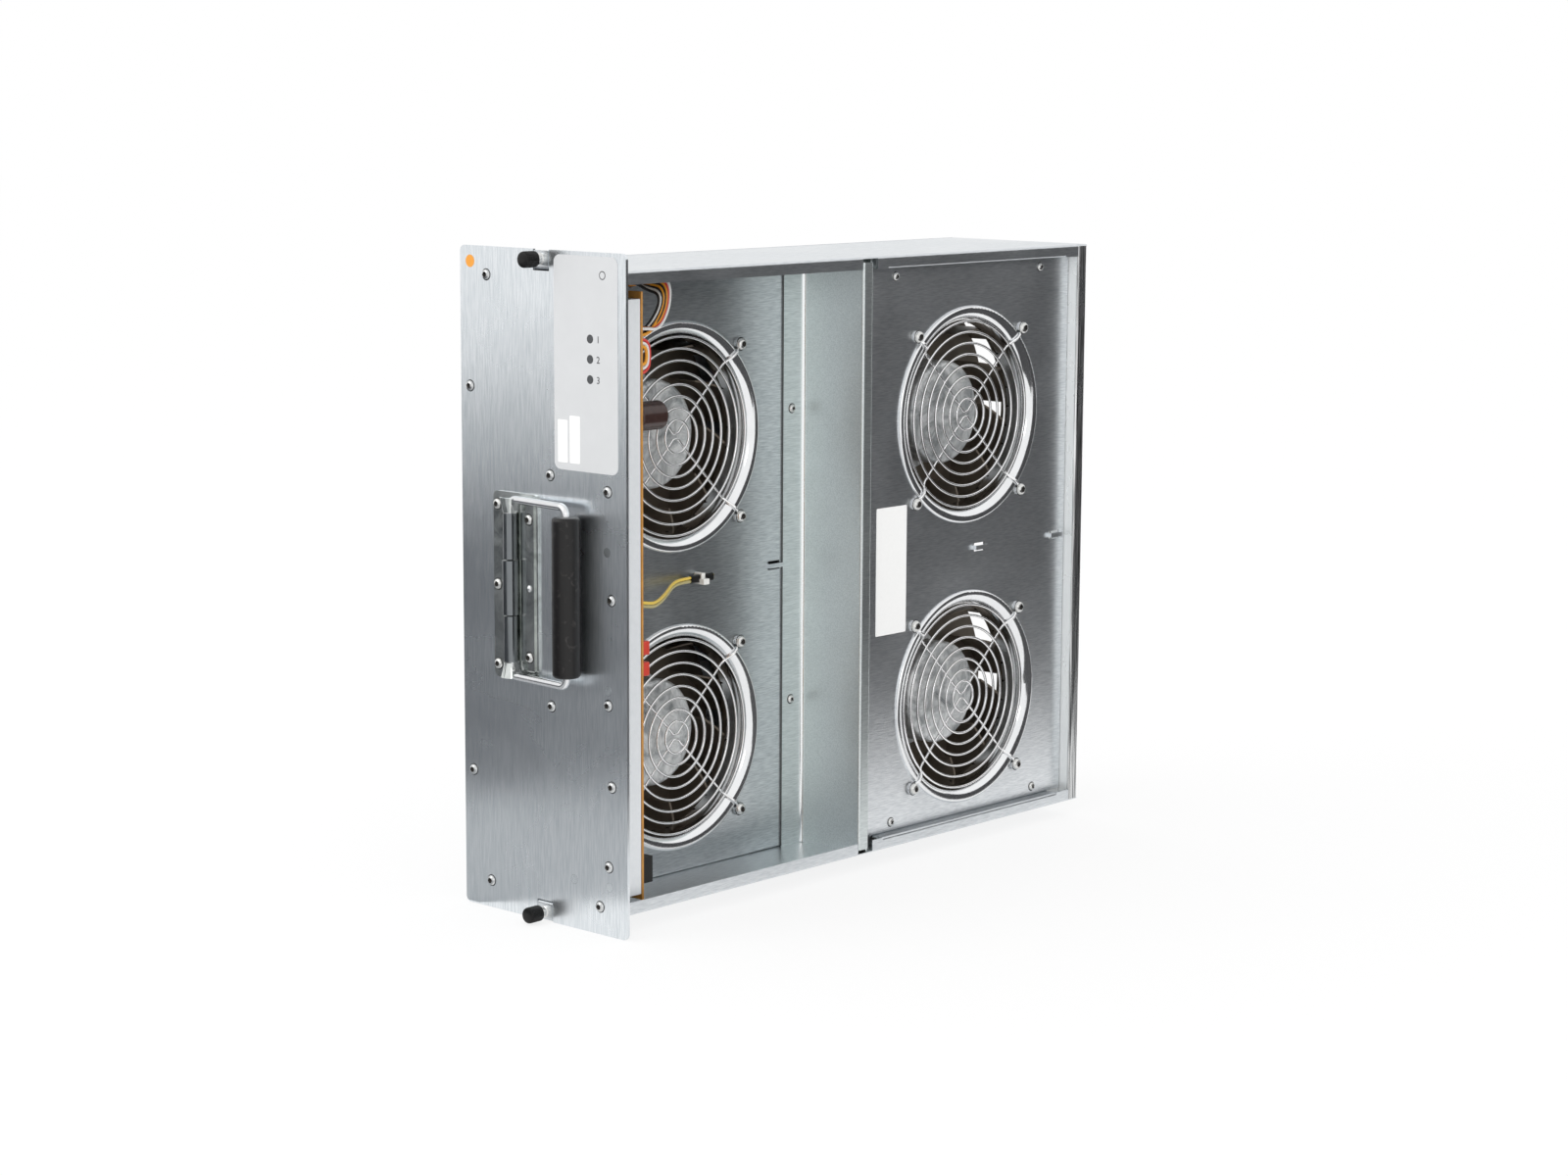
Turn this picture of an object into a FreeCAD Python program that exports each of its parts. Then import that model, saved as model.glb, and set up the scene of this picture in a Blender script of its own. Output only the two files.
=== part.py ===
import FreeCAD, Part
import math
import os
from FreeCAD import Vector

# Fan tray: a sheet-metal tray with four centrifugal fans, a control bay and a faceplate with a handle.
# Millimetres. While modelling, X is measured from the faceplate's middle, Y from its front into the tray,
# and Z up from its bottom edge. At export the frame moves to the bottom centre of the whole tray.

# Faceplate and tray body
FACE_WIDTH = 150.0
FACE_HEIGHT = 432.0
FACE_THICKNESS = 2.0
FACE_CORNER = 4.0
OVERHANG = 11.5
DEPTH = 482.0
SHEET = 1.2
BEND = 0.6
FLANGE = 8.5
LEDGE = 15.0
LAP = 14.0
LUG_HEIGHT = 9.0

# Fan panels, divider and rear post
REAR_SET_BACK = 9.0
BAY_DEPTH = 55.0
DIVIDER_Y = 236.0
DIVIDER_FOOT = 20.0
RIM = 10.0
RIM_GAP = 4.0
RIM_END_GAP = 2.4
PANEL_GAP = 0.7
PANEL_FRONT_Y = 10.0
PANEL_SCREW_INSET = 43.5
PANEL_SCREW_EDGE = 6.5
LANCE_LENGTH = 14.0
LANCE_WIDTH = 3.0
LANCE_RISE = 3.0
STAND_WIDTH = 110.0
CONNECTOR_WIDTH = 40.0
CONNECTOR_HEIGHT = 44.0
CONNECTOR_INSET = 12.0
SHELL_HEIGHT = 24.0
SHELL_WALL = 2.0
SHELL_RIM = 4.0
CAVITY_WIDTH = 3.6
CAVITY_HEIGHT = 12.0
CAVITY_DEPTH = 9.0
CAVITIES = 5

# Fan places, as shifts of the fan axes from the middle of their panels
FRONT_FAN_SHIFT = -7.8
REAR_FAN_SHIFT = 0.7
FAN_DROP = 11.0
FAN_SPACING = 201.0

# Inlet ring and finger guard
THROAT_RADIUS = 65.5
INLET_REACH = 8.9
LIP_HEIGHT = 2.0
THROAT_START = 9.0
THROAT_END = 18.0
RING_WALL = 1.0
RING_SEAT = 0.8
GUARD_BOLT_CIRCLE = 163.4
GUARD_WIRE = 1.8
GUARD_RINGS = 8
GUARD_FIRST_RING = 11.0
GUARD_RING_STEP = 7.8
GUARD_HUB_BEND = 6.0
GUARD_WELD = 0.4
GUARD_LIFT = 0.3
GUARD_STEP = 1.9
GUARD_RECESS = 1.6
GUARD_SLOPE = 42.0
GUARD_KNEE = 1.0
EYELET_RADIUS = 4.4

# Impeller, rotor and stator
WHEEL_RADIUS = 86.0
WHEEL_SHEET = 1.2
COLLAR_CLEARANCE = 1.1
COLLAR_START = 15.0
COLLAR_LENGTH = 3.0
SHROUD_BEND = 14.0
WHEEL_BASE_GAP = 8.5
BLADES = 11
BLADE_LEAD = 9.6
BLADE_SWEEP = 34.0
BLADE_SWEEP_MIDDLE = 14.3
AIR_PASSAGE = 29.0
ROTOR_WALL = 3.0
ROTOR_TOP = 18.8
ROTOR_SHOULDER = 21.0
ROTOR_CORNER = 4.5
ROTOR_FLANGE = 7.0
SHAFT_RADIUS = 4.0
SHAFT_CLEARANCE = 0.05
BEARING_RADIUS = 8.0
BEARING_WIDTH = 5.0
STATOR_AIR_GAP = 1.0
MOTOR_NECK_STEP = 8.0
MOTOR_BASE_RADIUS = 46.0
MOTOR_BASE_THICKNESS = 4.3
MOTOR_BOLT_RADIUS = 38.0
MOTOR_SCREW_BITE = 3.5

# Screws
SCREW_M3 = 1.5
SCREW_M4 = 2.0
SCREW_FIT = 0.05
PAN_HEAD_M3 = 3.0
PAN_HEAD_M4 = 4.2
BUTTON_HEAD_M3 = 3.5
HEAD_M3 = 1.8
HEAD_M4 = 3.0
SCREW_LENGTH = 7.0
RAIL_SCREW_INSET = 13.0
RAIL_SCREW_EDGE = 6.5
BACK_SCREW_OUT = 3.0
BACK_SCREW_SPACING = 252.0
DOUBLER_SCREW_OFFSET = 30.7
DOUBLER_SCREW_SPACING = 148.5
FOOT_SCREW_INSET = 11.5
FOOT_SCREW_RISE = 11.0

# Control bay
BRACKET_INSET = 9.0
BRACKET_DEPTH = 34.0
BRACKET_FOOT_GAP = 8.3
BRACKET_HEAD_GAP = 17.3
BRACKET_FLANGE = 13.0
RACK_GAP = 0.5
BRACKET_SCREW_NEAR = 4.0
BRACKET_SCREW_FAR = 7.0
BRACKET_RISES_NEAR = [24.0, 128.0, 263.0]
BRACKET_RISES_FAR = [76.0, 195.0]
BOARD_GAP = 0.8
BOARD_THICKNESS = 1.6
BOARD_PANEL_GAP = 4.5
BOARD_INSET = 1.0
BOARD_OVERSTAND = 4.5
BOARD_SCREW_EDGE = 6.5
BOARD_SCREW_END = 24.0
CAPACITOR_RADIUS = 9.3
CAPACITOR_LENGTH = 23.0
CAPACITOR_DROP = 92.3
CAPACITOR_INSET = 9.5
FILM_HEIGHT = 9.0
FILM_DROP = 45.0
FILM_OUT = 6.0
LAMP_INSET = 31.2
LAMP_DROP = 53.7
LAMP_STEP = 12.6
LAMP_RADIUS = 2.4
LABEL_WIDTH = 56.4
LABEL_HEIGHT = 134.5
LABEL_SIDE_GAP = 7.0
LABEL_TOP_GAP = 2.5
LABEL_THICKNESS = 0.3
WIRE_RADIUS = 1.1
HARNESS_INSET = 16.0
HARNESS_Y = 70.5
HARNESS_DROP = 10.3
HARNESS_BEND = 9.0
GROMMET_RADIUS = 4.0
PLUG_DROP = 29.0
PLUG_SIZE = 14.0
PLUG_LENGTH = 8.0
TRAY_PLUG_WIDTH = 13.0
TRAY_PLUG_HEIGHT = 17.0
TRAY_PLUG_RISE = 10.5
LEAD_PLUG_WIDTH = 8.0
LEAD_PLUG_HEIGHT = 10.0
JUMPER_DROP = 5.5
JUMPER_HEIGHT = 19.0
JUMPER_OUT = 6.5
JUMPER_STEP = 3.0
LEAD_INSET = 13.2
LEAD_DROP = 5.5
LEAD_RISE = 5.0
LEAD_GAP = 0.2
LEAD_BENDS = [16.0, 20.0]
LEAD_STRAIGHT = 12.0
SLEEVE_BEFORE_TIE = 10.0
SLEEVE_WALL = 0.35
TIP_LENGTH = 0.8
TIE_PAST_FAN = 16.0
TIE_GAP = 0.4
TIE_BAND = 1.0
TIE_WIDTH = 3.5
TIE_LOCK = 4.0

# Folding handle
HANDLE_X = -23.5
HANDLE_WIDTH = 41.0
HANDLE_HEIGHT = 121.0
HANDLE_PLATE = 1.5
LEAF_THICKNESS = 1.2
BARREL_RADIUS = 4.5
BARREL_MIDDLE_RADIUS = 5.1
BARREL_LENGTH = 96.0
BARREL_MIDDLE = 36.0
BARREL_GAP = 0.4
BAIL_WIRE_RADIUS = 2.5
BAIL_CLEARANCE = 0.06
BAIL_SPAN = 114.0
BAIL_REACH = 56.0
GRIP_CLEARANCE = 1.9
BAIL_END_BEND = 6.0
BAIL_GRIP_BEND = 5.5
BAIL_PIN = 24.0
GRIP_RADIUS = 9.0
GRIP_LENGTH = 102.0
GRIP_EDGE = 2.5
KNUCKLE_GAP = 1.0
LEAF_SIDE_GAP = 2.5
LEAF_END_GAP = 5.0
PLATE_SCREW_OFFSET = 16.6
PLATE_SCREW_STEP = 52.0
LEAF_SCREW_OFFSET = 13.5
LEAF_SCREW_STEP = 44.5

# Captive screws
CAPTIVE_INSET = 6.0
EAR_WIDTH = 13.0
EAR_GAP = 0.7
FERRULE_RADIUS = 3.8
FERRULE_SHANK = 3.2
FERRULE_OUT = 4.5
KNOB_RADIUS = 5.2
KNOB_START = 5.5
KNOB_LENGTH = 11.0
KNOB_CAVITY_GAP = 0.4
KNOB_CAVITY_DEPTH = 6.0
KNOB_EDGE = 0.9
KNOB_CAP = 2.0
CAPTIVE_TIP = 10.0
CAPTIVE_NECK = 1.5
THREAD_GAP = 0.2
WASHER_RADIUS = 3.4
WASHER_THICKNESS = 0.8
WASHER_GAP = 0.4

# Places worked out from the sizes above
BOX_X = FACE_WIDTH / 2 - OVERHANG
BOX_BOTTOM = OVERHANG
BOX_TOP = FACE_HEIGHT - OVERHANG
INNER_BOTTOM = BOX_BOTTOM + SHEET
INNER_TOP = BOX_TOP - SHEET
MIDDLE_Z = FACE_HEIGHT / 2
BACK_X = -BOX_X + SHEET
REAR_PANEL_X = BOX_X - REAR_SET_BACK
BAY_PANEL_X = BOX_X - BAY_DEPTH
FRONT_FAN_Y = (PANEL_FRONT_Y + DIVIDER_Y) / 2 + FRONT_FAN_SHIFT
REAR_FAN_Y = (DIVIDER_Y + DEPTH) / 2 + REAR_FAN_SHIFT
LOWER_FAN_Z = MIDDLE_Z - FAN_DROP - FAN_SPACING / 2
UPPER_FAN_Z = LOWER_FAN_Z + FAN_SPACING
LIP_RADIUS = THROAT_RADIUS + INLET_REACH
PANEL_HOLE_RADIUS = LIP_RADIUS + LIP_HEIGHT - RING_WALL - RING_SEAT
COLLAR_RADIUS = THROAT_RADIUS + RING_WALL + COLLAR_CLEARANCE
BLADE_INNER_RADIUS = COLLAR_RADIUS - BLADE_LEAD
GUARD_HALF = GUARD_BOLT_CIRCLE / 2 / math.sqrt(2)
MOTOR_DEPTH = BAY_PANEL_X - BACK_X
MOTOR_BASE_TOP = MOTOR_DEPTH - MOTOR_BASE_THICKNESS
WHEEL_DEPTH = MOTOR_BASE_TOP - WHEEL_BASE_GAP
ROTOR_RADIUS = THROAT_RADIUS - AIR_PASSAGE
STAND_X = REAR_PANEL_X - MOTOR_DEPTH
BRACKET_X = BOX_X - BRACKET_INSET
BEARING_X = BRACKET_X - SHEET + BRACKET_FLANGE + RACK_GAP
BRACKET_BOTTOM = INNER_BOTTOM + BRACKET_FOOT_GAP
BRACKET_TOP = INNER_TOP - BRACKET_HEAD_GAP
BOARD_LEFT = BAY_PANEL_X + BOARD_PANEL_GAP
BOARD_RIGHT = BRACKET_X - BOARD_INSET
BOARD_BOTTOM = BRACKET_BOTTOM - BOARD_OVERSTAND
BOARD_TOP = BRACKET_TOP + BOARD_OVERSTAND
BOARD_Y = BRACKET_DEPTH + BOARD_GAP
BOARD_BACK = BOARD_Y + BOARD_THICKNESS
PLUG_BACK = BOARD_BACK + PLUG_LENGTH
CAPACITOR_X = BRACKET_X - CAPACITOR_INSET
CAPACITOR_Z = INNER_TOP - CAPACITOR_DROP
HARNESS_X = BRACKET_X - HARNESS_INSET
HARNESS_Z = INNER_TOP - HARNESS_DROP
PLUG_Z = HARNESS_Z - PLUG_DROP
LEAD_X = BRACKET_X - LEAD_INSET
LEAD_Z = MIDDLE_Z - LEAD_DROP
TIE_Y = FRONT_FAN_Y + TIE_PAST_FAN
HANDLE_Z = MIDDLE_Z
BARREL_Y = -BARREL_RADIUS - HANDLE_PLATE - BARREL_GAP
BAIL_LEAN = GRIP_RADIUS + GRIP_CLEARANCE + BARREL_Y
FRONT_REACH = -BARREL_Y + BAIL_LEAN + GRIP_RADIUS
FRAME_SHIFT = Vector(0, -(DEPTH - FRONT_REACH) / 2, 0)

FANS = {
    "front_upper": (BAY_PANEL_X, FRONT_FAN_Y, UPPER_FAN_Z),
    "front_lower": (BAY_PANEL_X, FRONT_FAN_Y, LOWER_FAN_Z),
    "rear_upper": (REAR_PANEL_X, REAR_FAN_Y, UPPER_FAN_Z),
    "rear_lower": (REAR_PANEL_X, REAR_FAN_Y, LOWER_FAN_Z),
}
CORNERS = [(-1, -1), (-1, 1), (1, -1), (1, 1)]


def box(x0, x1, y0, y1, z0, z1):
    return Part.makeBox(x1 - x0, y1 - y0, z1 - z0, Vector(x0, y0, z0))


def rod_x(x0, x1, y, z, radius):
    return Part.makeCylinder(radius, x1 - x0, Vector(x0, y, z), Vector(1, 0, 0))


def rod_y(x, y0, y1, z, radius):
    return Part.makeCylinder(radius, y1 - y0, Vector(x, y0, z), Vector(0, 1, 0))


def rod_z(x, y, z0, z1, radius):
    return Part.makeCylinder(radius, z1 - z0, Vector(x, y, z0), Vector(0, 0, 1))


def joined(shapes):
    return shapes[0].multiFuse(shapes[1:]).removeSplitter()


def cut_all(shape, tools):
    return shape.cut(Part.makeCompound(tools))


def edges_along_y(shape):
    return [e for e in shape.Edges if abs(e.tangentAt(e.FirstParameter).y) > 0.99]


def line(start, end):
    return Part.LineSegment(start, end).toShape()


def rounded_path(points, radii):
    """Edges of straight runs through points, with a tangent arc of the given radius at each inner point."""
    edges = []
    start = points[0]
    for before, corner, after, radius in zip(points, points[1:], points[2:], radii):
        back = (before - corner).normalize()
        ahead = (after - corner).normalize()
        half = back.getAngle(ahead) / 2
        reach = radius / math.tan(half)
        middle = (back + ahead).normalize()
        first = corner + back * reach
        last = corner + ahead * reach
        apex = corner + middle * (radius / math.sin(half) - radius)
        edges.append(line(start, first))
        edges.append(Part.Arc(first, apex, last).toShape())
        start = last
    edges.append(line(start, points[-1]))
    return edges


def bent_sheet(path, thickness, bend, height):
    """Bent strip whose left face follows a path in the XY plane; it rises by height from z = 0."""
    left = [Vector(x, y, 0) for x, y in path]
    runs = [(b - a).normalize() for a, b in zip(left, left[1:])]
    outs = [Vector(run.y, -run.x, 0) for run in runs]
    right = [left[0] + outs[0] * thickness]
    left_radii = []
    right_radii = []
    for corner, first, second, run, following in zip(left[1:], outs, outs[1:], runs, runs[1:]):
        right.append(corner + (first + second) * (thickness / (1 + first.dot(second))))
        turns_left = run.cross(following).z > 0
        left_radii.append(bend if turns_left else bend + thickness)
        right_radii.append(bend + thickness if turns_left else bend)
    right.append(left[-1] + outs[-1] * thickness)
    edges = rounded_path(left, left_radii)
    edges.append(line(left[-1], right[-1]))
    edges += rounded_path(right[::-1], right_radii[::-1])
    edges.append(line(right[0], left[0]))
    return Part.Face(Part.Wire(edges)).extrude(Vector(0, 0, height))


def upright_sheet(path, z0, z1, thickness=SHEET):
    """Bent strip with its path in the XY plane, standing from z0 to z1."""
    return bent_sheet(path, thickness, BEND, z1 - z0).translated(Vector(0, 0, z0))


def lengthwise_sheet(path, y0, y1, thickness=SHEET):
    """Bent strip with its path given as X and Z, running from y0 to y1."""
    strip = bent_sheet(path, thickness, BEND, y1 - y0)
    return strip.rotated(Vector(0, 0, 0), Vector(1, 0, 0), 90).translated(Vector(0, y1, 0))


def on_fan(shape, place):
    """Turn a piece built about the Z axis so that its axis is X, and move it to a fan's place."""
    return shape.rotated(Vector(0, 0, 0), Vector(1, 1, 1), 120).translated(Vector(*place))


def turned(edges):
    """Solid of revolution about Z from edges in the XZ plane."""
    outline = Part.Wire(Part.sortEdges(edges)[0])
    return Part.Face(outline).revolve(Vector(0, 0, 0), Vector(0, 0, 1), 360)


def turned_outline(points):
    """Solid of revolution about Z from straight runs between points given as radius and height."""
    corners = [Vector(r, 0, w) for r, w in points]
    return turned([line(a, b) for a, b in zip(corners, corners[1:] + corners[:1])])


def cord(points, bends, radius):
    """Round cord along straight runs joined by tangent arcs."""
    corners = [Vector(*p) for p in points]
    path = Part.Wire(rounded_path(corners, bends))
    ring = Part.Circle(corners[0], corners[1] - corners[0], radius).toShape()
    return path.makePipeShell([Part.Wire([ring])], True, False)


def pan_screw(tip_to_head, head_radius, head_height, shank_radius, length, seat):
    """Screw whose head's underside sits at seat; tip_to_head is the unit vector out of the head."""
    head = Part.makeCylinder(head_radius, head_height, seat, tip_to_head)
    shank = Part.makeCylinder(shank_radius, length, seat - tip_to_head * length, tip_to_head)
    return joined([head, shank])


# Places of screws and lamps: X and Z on the faceplate, Y and Z on the panels

RAIL_SCREW_X = BOX_X - RAIL_SCREW_INSET
RAIL_SCREW_TOP = BOX_TOP - RAIL_SCREW_EDGE
RAIL_SCREW_BOTTOM = BOX_BOTTOM + RAIL_SCREW_EDGE
FACE_SCREWS_RAIL = [(-RAIL_SCREW_X, RAIL_SCREW_BOTTOM), (-RAIL_SCREW_X, RAIL_SCREW_TOP)]
FACE_SCREWS_RAIL.append((RAIL_SCREW_X, RAIL_SCREW_BOTTOM))
FACE_SCREWS_BACK = [(-BOX_X - BACK_SCREW_OUT, MIDDLE_Z + side * BACK_SCREW_SPACING / 2) for side in (-1, 1)]
DOUBLER_SCREW_X = HANDLE_X + DOUBLER_SCREW_OFFSET
FACE_SCREWS_DOUBLER = [(DOUBLER_SCREW_X, HANDLE_Z + side * DOUBLER_SCREW_SPACING / 2) for side in (-1, 1)]
FACE_SCREWS_BRACKET = [(BRACKET_X + BRACKET_SCREW_NEAR, BRACKET_BOTTOM + rise) for rise in BRACKET_RISES_NEAR]
FACE_SCREWS_BRACKET += [(BRACKET_X + BRACKET_SCREW_FAR, BRACKET_BOTTOM + rise) for rise in BRACKET_RISES_FAR]
FACE_SCREWS = FACE_SCREWS_RAIL + FACE_SCREWS_BACK + FACE_SCREWS_DOUBLER + FACE_SCREWS_BRACKET
HANDLE_SCREWS_PLATE = [(HANDLE_X - PLATE_SCREW_OFFSET, HANDLE_Z + PLATE_SCREW_STEP * i) for i in (-1, 0, 1)]
HANDLE_SCREWS_LEAF = [(HANDLE_X + LEAF_SCREW_OFFSET, HANDLE_Z + LEAF_SCREW_STEP * i) for i in (-1, 1)]
HANDLE_SCREWS = HANDLE_SCREWS_PLATE + HANDLE_SCREWS_LEAF
PANEL_SCREW_TOP = BOX_TOP - FLANGE - PANEL_SCREW_EDGE
PANEL_SCREW_BOTTOM = BOX_BOTTOM + FLANGE + PANEL_SCREW_EDGE
PANEL_SCREW_ENDS = [DIVIDER_Y + PANEL_SCREW_INSET, DEPTH - PANEL_SCREW_INSET]
PANEL_SCREWS = [(y, z) for z in (PANEL_SCREW_TOP, PANEL_SCREW_BOTTOM) for y in PANEL_SCREW_ENDS]
FOOT_SCREWS = [(DIVIDER_Y - FOOT_SCREW_INSET, z + FOOT_SCREW_RISE) for z in (LOWER_FAN_Z, UPPER_FAN_Z)]
BOARD_SCREWS_LEFT = [BOARD_BOTTOM + BOARD_SCREW_END, MIDDLE_Z, BOARD_TOP - BOARD_SCREW_END]
BOARD_SCREWS = [(BOARD_LEFT + BOARD_SCREW_EDGE, z) for z in BOARD_SCREWS_LEFT]
BOARD_SCREWS_RIGHT = [BOARD_BOTTOM + 3 * BOARD_SCREW_END, MIDDLE_Z + 2 * BOARD_SCREW_END]
BOARD_SCREWS += [(BOARD_RIGHT - BOARD_SCREW_EDGE, z) for z in BOARD_SCREWS_RIGHT]
LAMPS = [(FACE_WIDTH / 2 - LAMP_INSET, FACE_HEIGHT - LAMP_DROP - LAMP_STEP * i) for i in range(3)]
MOTOR_BOLT = MOTOR_BOLT_RADIUS / math.sqrt(2)
MOTOR_BOLTS = [(MOTOR_BOLT * a, MOTOR_BOLT * b) for a, b in CORNERS]
GUARD_BOLTS = [(GUARD_HALF * a, GUARD_HALF * b) for a, b in CORNERS]


# Tray body


def faceplate():
    plate = box(-FACE_WIDTH / 2, FACE_WIDTH / 2, 0, FACE_THICKNESS, 0, FACE_HEIGHT)
    plate = plate.makeFillet(FACE_CORNER, edges_along_y(plate))
    # The strip past the bracket's flange bears on the rack, so it stays a face of its own
    strip = box(BEARING_X, FACE_WIDTH / 2, 0, FACE_THICKNESS, 0, FACE_HEIGHT)
    plate = plate.cut(strip).fuse(plate.common(strip))
    notch = EAR_WIDTH / 2 + EAR_GAP
    back = FACE_THICKNESS + 1
    cuts = [box(-notch, notch, -1, back, INNER_TOP - EAR_GAP, FACE_HEIGHT + 1)]
    cuts.append(box(-notch, notch, -1, back, -1, INNER_BOTTOM + EAR_GAP))
    cuts += [rod_y(x, -1, back, z, SCREW_M3 + SCREW_FIT) for x, z in FACE_SCREWS + HANDLE_SCREWS]
    cuts += [rod_y(x, -1, back, z, LAMP_RADIUS + SCREW_FIT) for x, z in LAMPS]
    return cut_all(plate, cuts)


def top_rail():
    """Roof of the tray, folded down at both sides and stepped in behind the rear fan panel, with an ear."""
    fold = [(BACK_X, BOX_TOP - LAP), (BACK_X, BOX_TOP), (BOX_X, BOX_TOP), (BOX_X, BOX_TOP - FLANGE)]
    ledge_x = REAR_PANEL_X - SHEET
    step = fold + [(ledge_x, BOX_TOP - FLANGE), (ledge_x, BOX_TOP - FLANGE - LEDGE)]
    step_start = DIVIDER_Y + RIM + LAP + 1
    step_end = DEPTH - RIM - LAP - 1
    pieces = [lengthwise_sheet(fold, FACE_THICKNESS, step_start)]
    pieces.append(lengthwise_sheet(step, step_start, step_end))
    pieces.append(lengthwise_sheet(fold, step_end, DEPTH))
    lug_back = FACE_THICKNESS + SHEET
    lug_top = INNER_TOP + SHEET / 2
    for x in (-RAIL_SCREW_X, RAIL_SCREW_X):
        pieces.append(box(x - LAP / 2, x + LAP / 2, FACE_THICKNESS, lug_back, BOX_TOP - LUG_HEIGHT, lug_top))
    ear_path = [(FACE_THICKNESS + SHEET, INNER_TOP), (0, INNER_TOP), (0, FACE_HEIGHT - EAR_GAP)]
    ear = bent_sheet(ear_path, SHEET, BEND, EAR_WIDTH).rotated(Vector(0, 0, 0), Vector(1, 1, 1), 120)
    pieces.append(ear.translated(Vector(-EAR_WIDTH / 2, 0, 0)))
    low = BOX_TOP - FLANGE - 1
    lip_x = BOX_X - SHEET - BEND
    cuts = [box(lip_x, BOX_X + 1, DIVIDER_Y - SHEET, DIVIDER_Y + RIM + RIM_GAP, low, INNER_TOP)]
    cuts.append(box(lip_x, BOX_X + 1, DEPTH - RIM - SHEET / 2, DEPTH + 1, low, INNER_TOP))
    cuts.append(rod_y(0, -1, SHEET + 1, FACE_HEIGHT - CAPTIVE_INSET, FERRULE_SHANK + SCREW_FIT))
    for x in (-RAIL_SCREW_X, RAIL_SCREW_X):
        cuts.append(rod_y(x, 0, lug_back + SHEET, RAIL_SCREW_TOP, SCREW_M3 + SCREW_FIT))
    for y, z in PANEL_SCREWS[:2]:
        cuts.append(rod_x(ledge_x - 2 * SHEET, ledge_x + 1, y, z, SCREW_M3 + SCREW_FIT))
    return cut_all(joined(pieces), cuts)


def bottom_rail():
    return top_rail().mirror(Vector(0, 0, MIDDLE_Z), Vector(0, 0, 1))


def back_panel():
    """Closed side of the tray, turned out behind the faceplate and in at the rear end."""
    flange_y = FACE_THICKNESS + SHEET
    path = [(-FACE_WIDTH / 2 + 1, flange_y), (-BOX_X, flange_y), (-BOX_X, DEPTH), (-BOX_X + LAP, DEPTH)]
    folded = upright_sheet(path, BOX_BOTTOM + LAP + 2, BOX_TOP - LAP - 2)
    skin = box(-BOX_X, BACK_X, flange_y, DEPTH, BOX_BOTTOM, BOX_TOP)
    cuts = [rod_y(x, 0, 2 * flange_y, z, SCREW_M3 + SCREW_FIT) for x, z in FACE_SCREWS_BACK]
    for name in ("front_upper", "front_lower"):
        x, y, z = FANS[name]
        cuts += [rod_x(-BOX_X - 1, BACK_X + 1, y + a, z + b, SCREW_M4 + SCREW_FIT) for a, b in MOTOR_BOLTS]
    return cut_all(joined([skin, folded]), cuts)


def rear_post():
    """Post at the open side's rear end: rim, step down and ledge behind the rear fan panel."""
    ledge_x = REAR_PANEL_X - SHEET
    rim_y = DEPTH - RIM
    path = [(BOX_X - LAP / 2, DEPTH), (BOX_X, DEPTH), (BOX_X, rim_y)]
    path += [(ledge_x, rim_y), (ledge_x, rim_y - LAP)]
    return upright_sheet(path, INNER_BOTTOM, INNER_TOP)


def divider():
    """Wall between the control bay and the rear half, with a foot on the front panel and a rim outside."""
    ledge_x = REAR_PANEL_X - SHEET
    foot_x = BAY_PANEL_X + SHEET
    rim_end = DIVIDER_Y + RIM
    path = [(ledge_x, rim_end + LAP), (ledge_x, rim_end), (BOX_X, rim_end), (BOX_X, DIVIDER_Y)]
    path += [(foot_x, DIVIDER_Y), (foot_x, DIVIDER_Y - DIVIDER_FOOT)]
    wall = upright_sheet(path, INNER_BOTTOM, INNER_TOP)
    cuts = [rod_x(BAY_PANEL_X - 1, foot_x + 1, y, z, SCREW_M3 + SCREW_FIT) for y, z in FOOT_SCREWS]
    inside = BOX_X - BEND - SHEET
    for z0, z1 in ((INNER_BOTTOM, INNER_BOTTOM + RIM_END_GAP), (INNER_TOP - RIM_END_GAP, INNER_TOP)):
        cuts.append(box(inside, BOX_X + 1, DIVIDER_Y - 1, rim_end + 1, z0, z1))
    return cut_all(wall, cuts)


def with_lances(panel, face_x, places):
    """Raise narrow bridges out of a panel, for cable ties, with their middles at the places."""
    high = face_x + LANCE_RISE
    half = LANCE_LENGTH / 2
    open_half = half - SHEET
    for y, z in places:
        bridge = box(face_x - SHEET / 2, high, y - half, y + half, z - LANCE_WIDTH / 2, z + LANCE_WIDTH / 2)
        under = face_x - 2 * SHEET
        gap = box(under, high - SHEET, y - open_half, y + open_half, z - LANCE_WIDTH, z + LANCE_WIDTH)
        panel = joined([panel, bridge]).cut(gap)
    return panel


def fan_holes(face_x, names):
    holes = []
    for name in names:
        x, y, z = FANS[name]
        inside = face_x - 2 * SHEET
        holes.append(rod_x(inside, face_x + 1, y, z, PANEL_HOLE_RADIUS))
        holes += [rod_x(inside, face_x + 1, y + a, z + b, SCREW_M4 + SCREW_FIT) for a, b in GUARD_BOLTS]
    return holes


def front_fan_panel():
    """Deep panel of the control bay, folded back along its top and bottom edges."""
    x = BAY_PANEL_X
    path = [(x - LAP, INNER_TOP), (x, INNER_TOP), (x, INNER_BOTTOM), (x - LAP, INNER_BOTTOM)]
    panel = lengthwise_sheet(path, PANEL_FRONT_Y, DIVIDER_Y + SHEET)
    cuts = fan_holes(x, ("front_upper", "front_lower"))
    cuts += [rod_x(x - 2 * SHEET, x + 1, y, z, SCREW_M3 + SCREW_FIT) for y, z in FOOT_SCREWS]
    cuts.append(rod_x(x - 2 * SHEET, x + 1, HARNESS_Y, HARNESS_Z, GROMMET_RADIUS))
    return with_lances(cut_all(panel, cuts), x, [(TIE_Y, LEAD_Z), (DIVIDER_Y - 2 * LANCE_LENGTH, LEAD_Z)])


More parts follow.
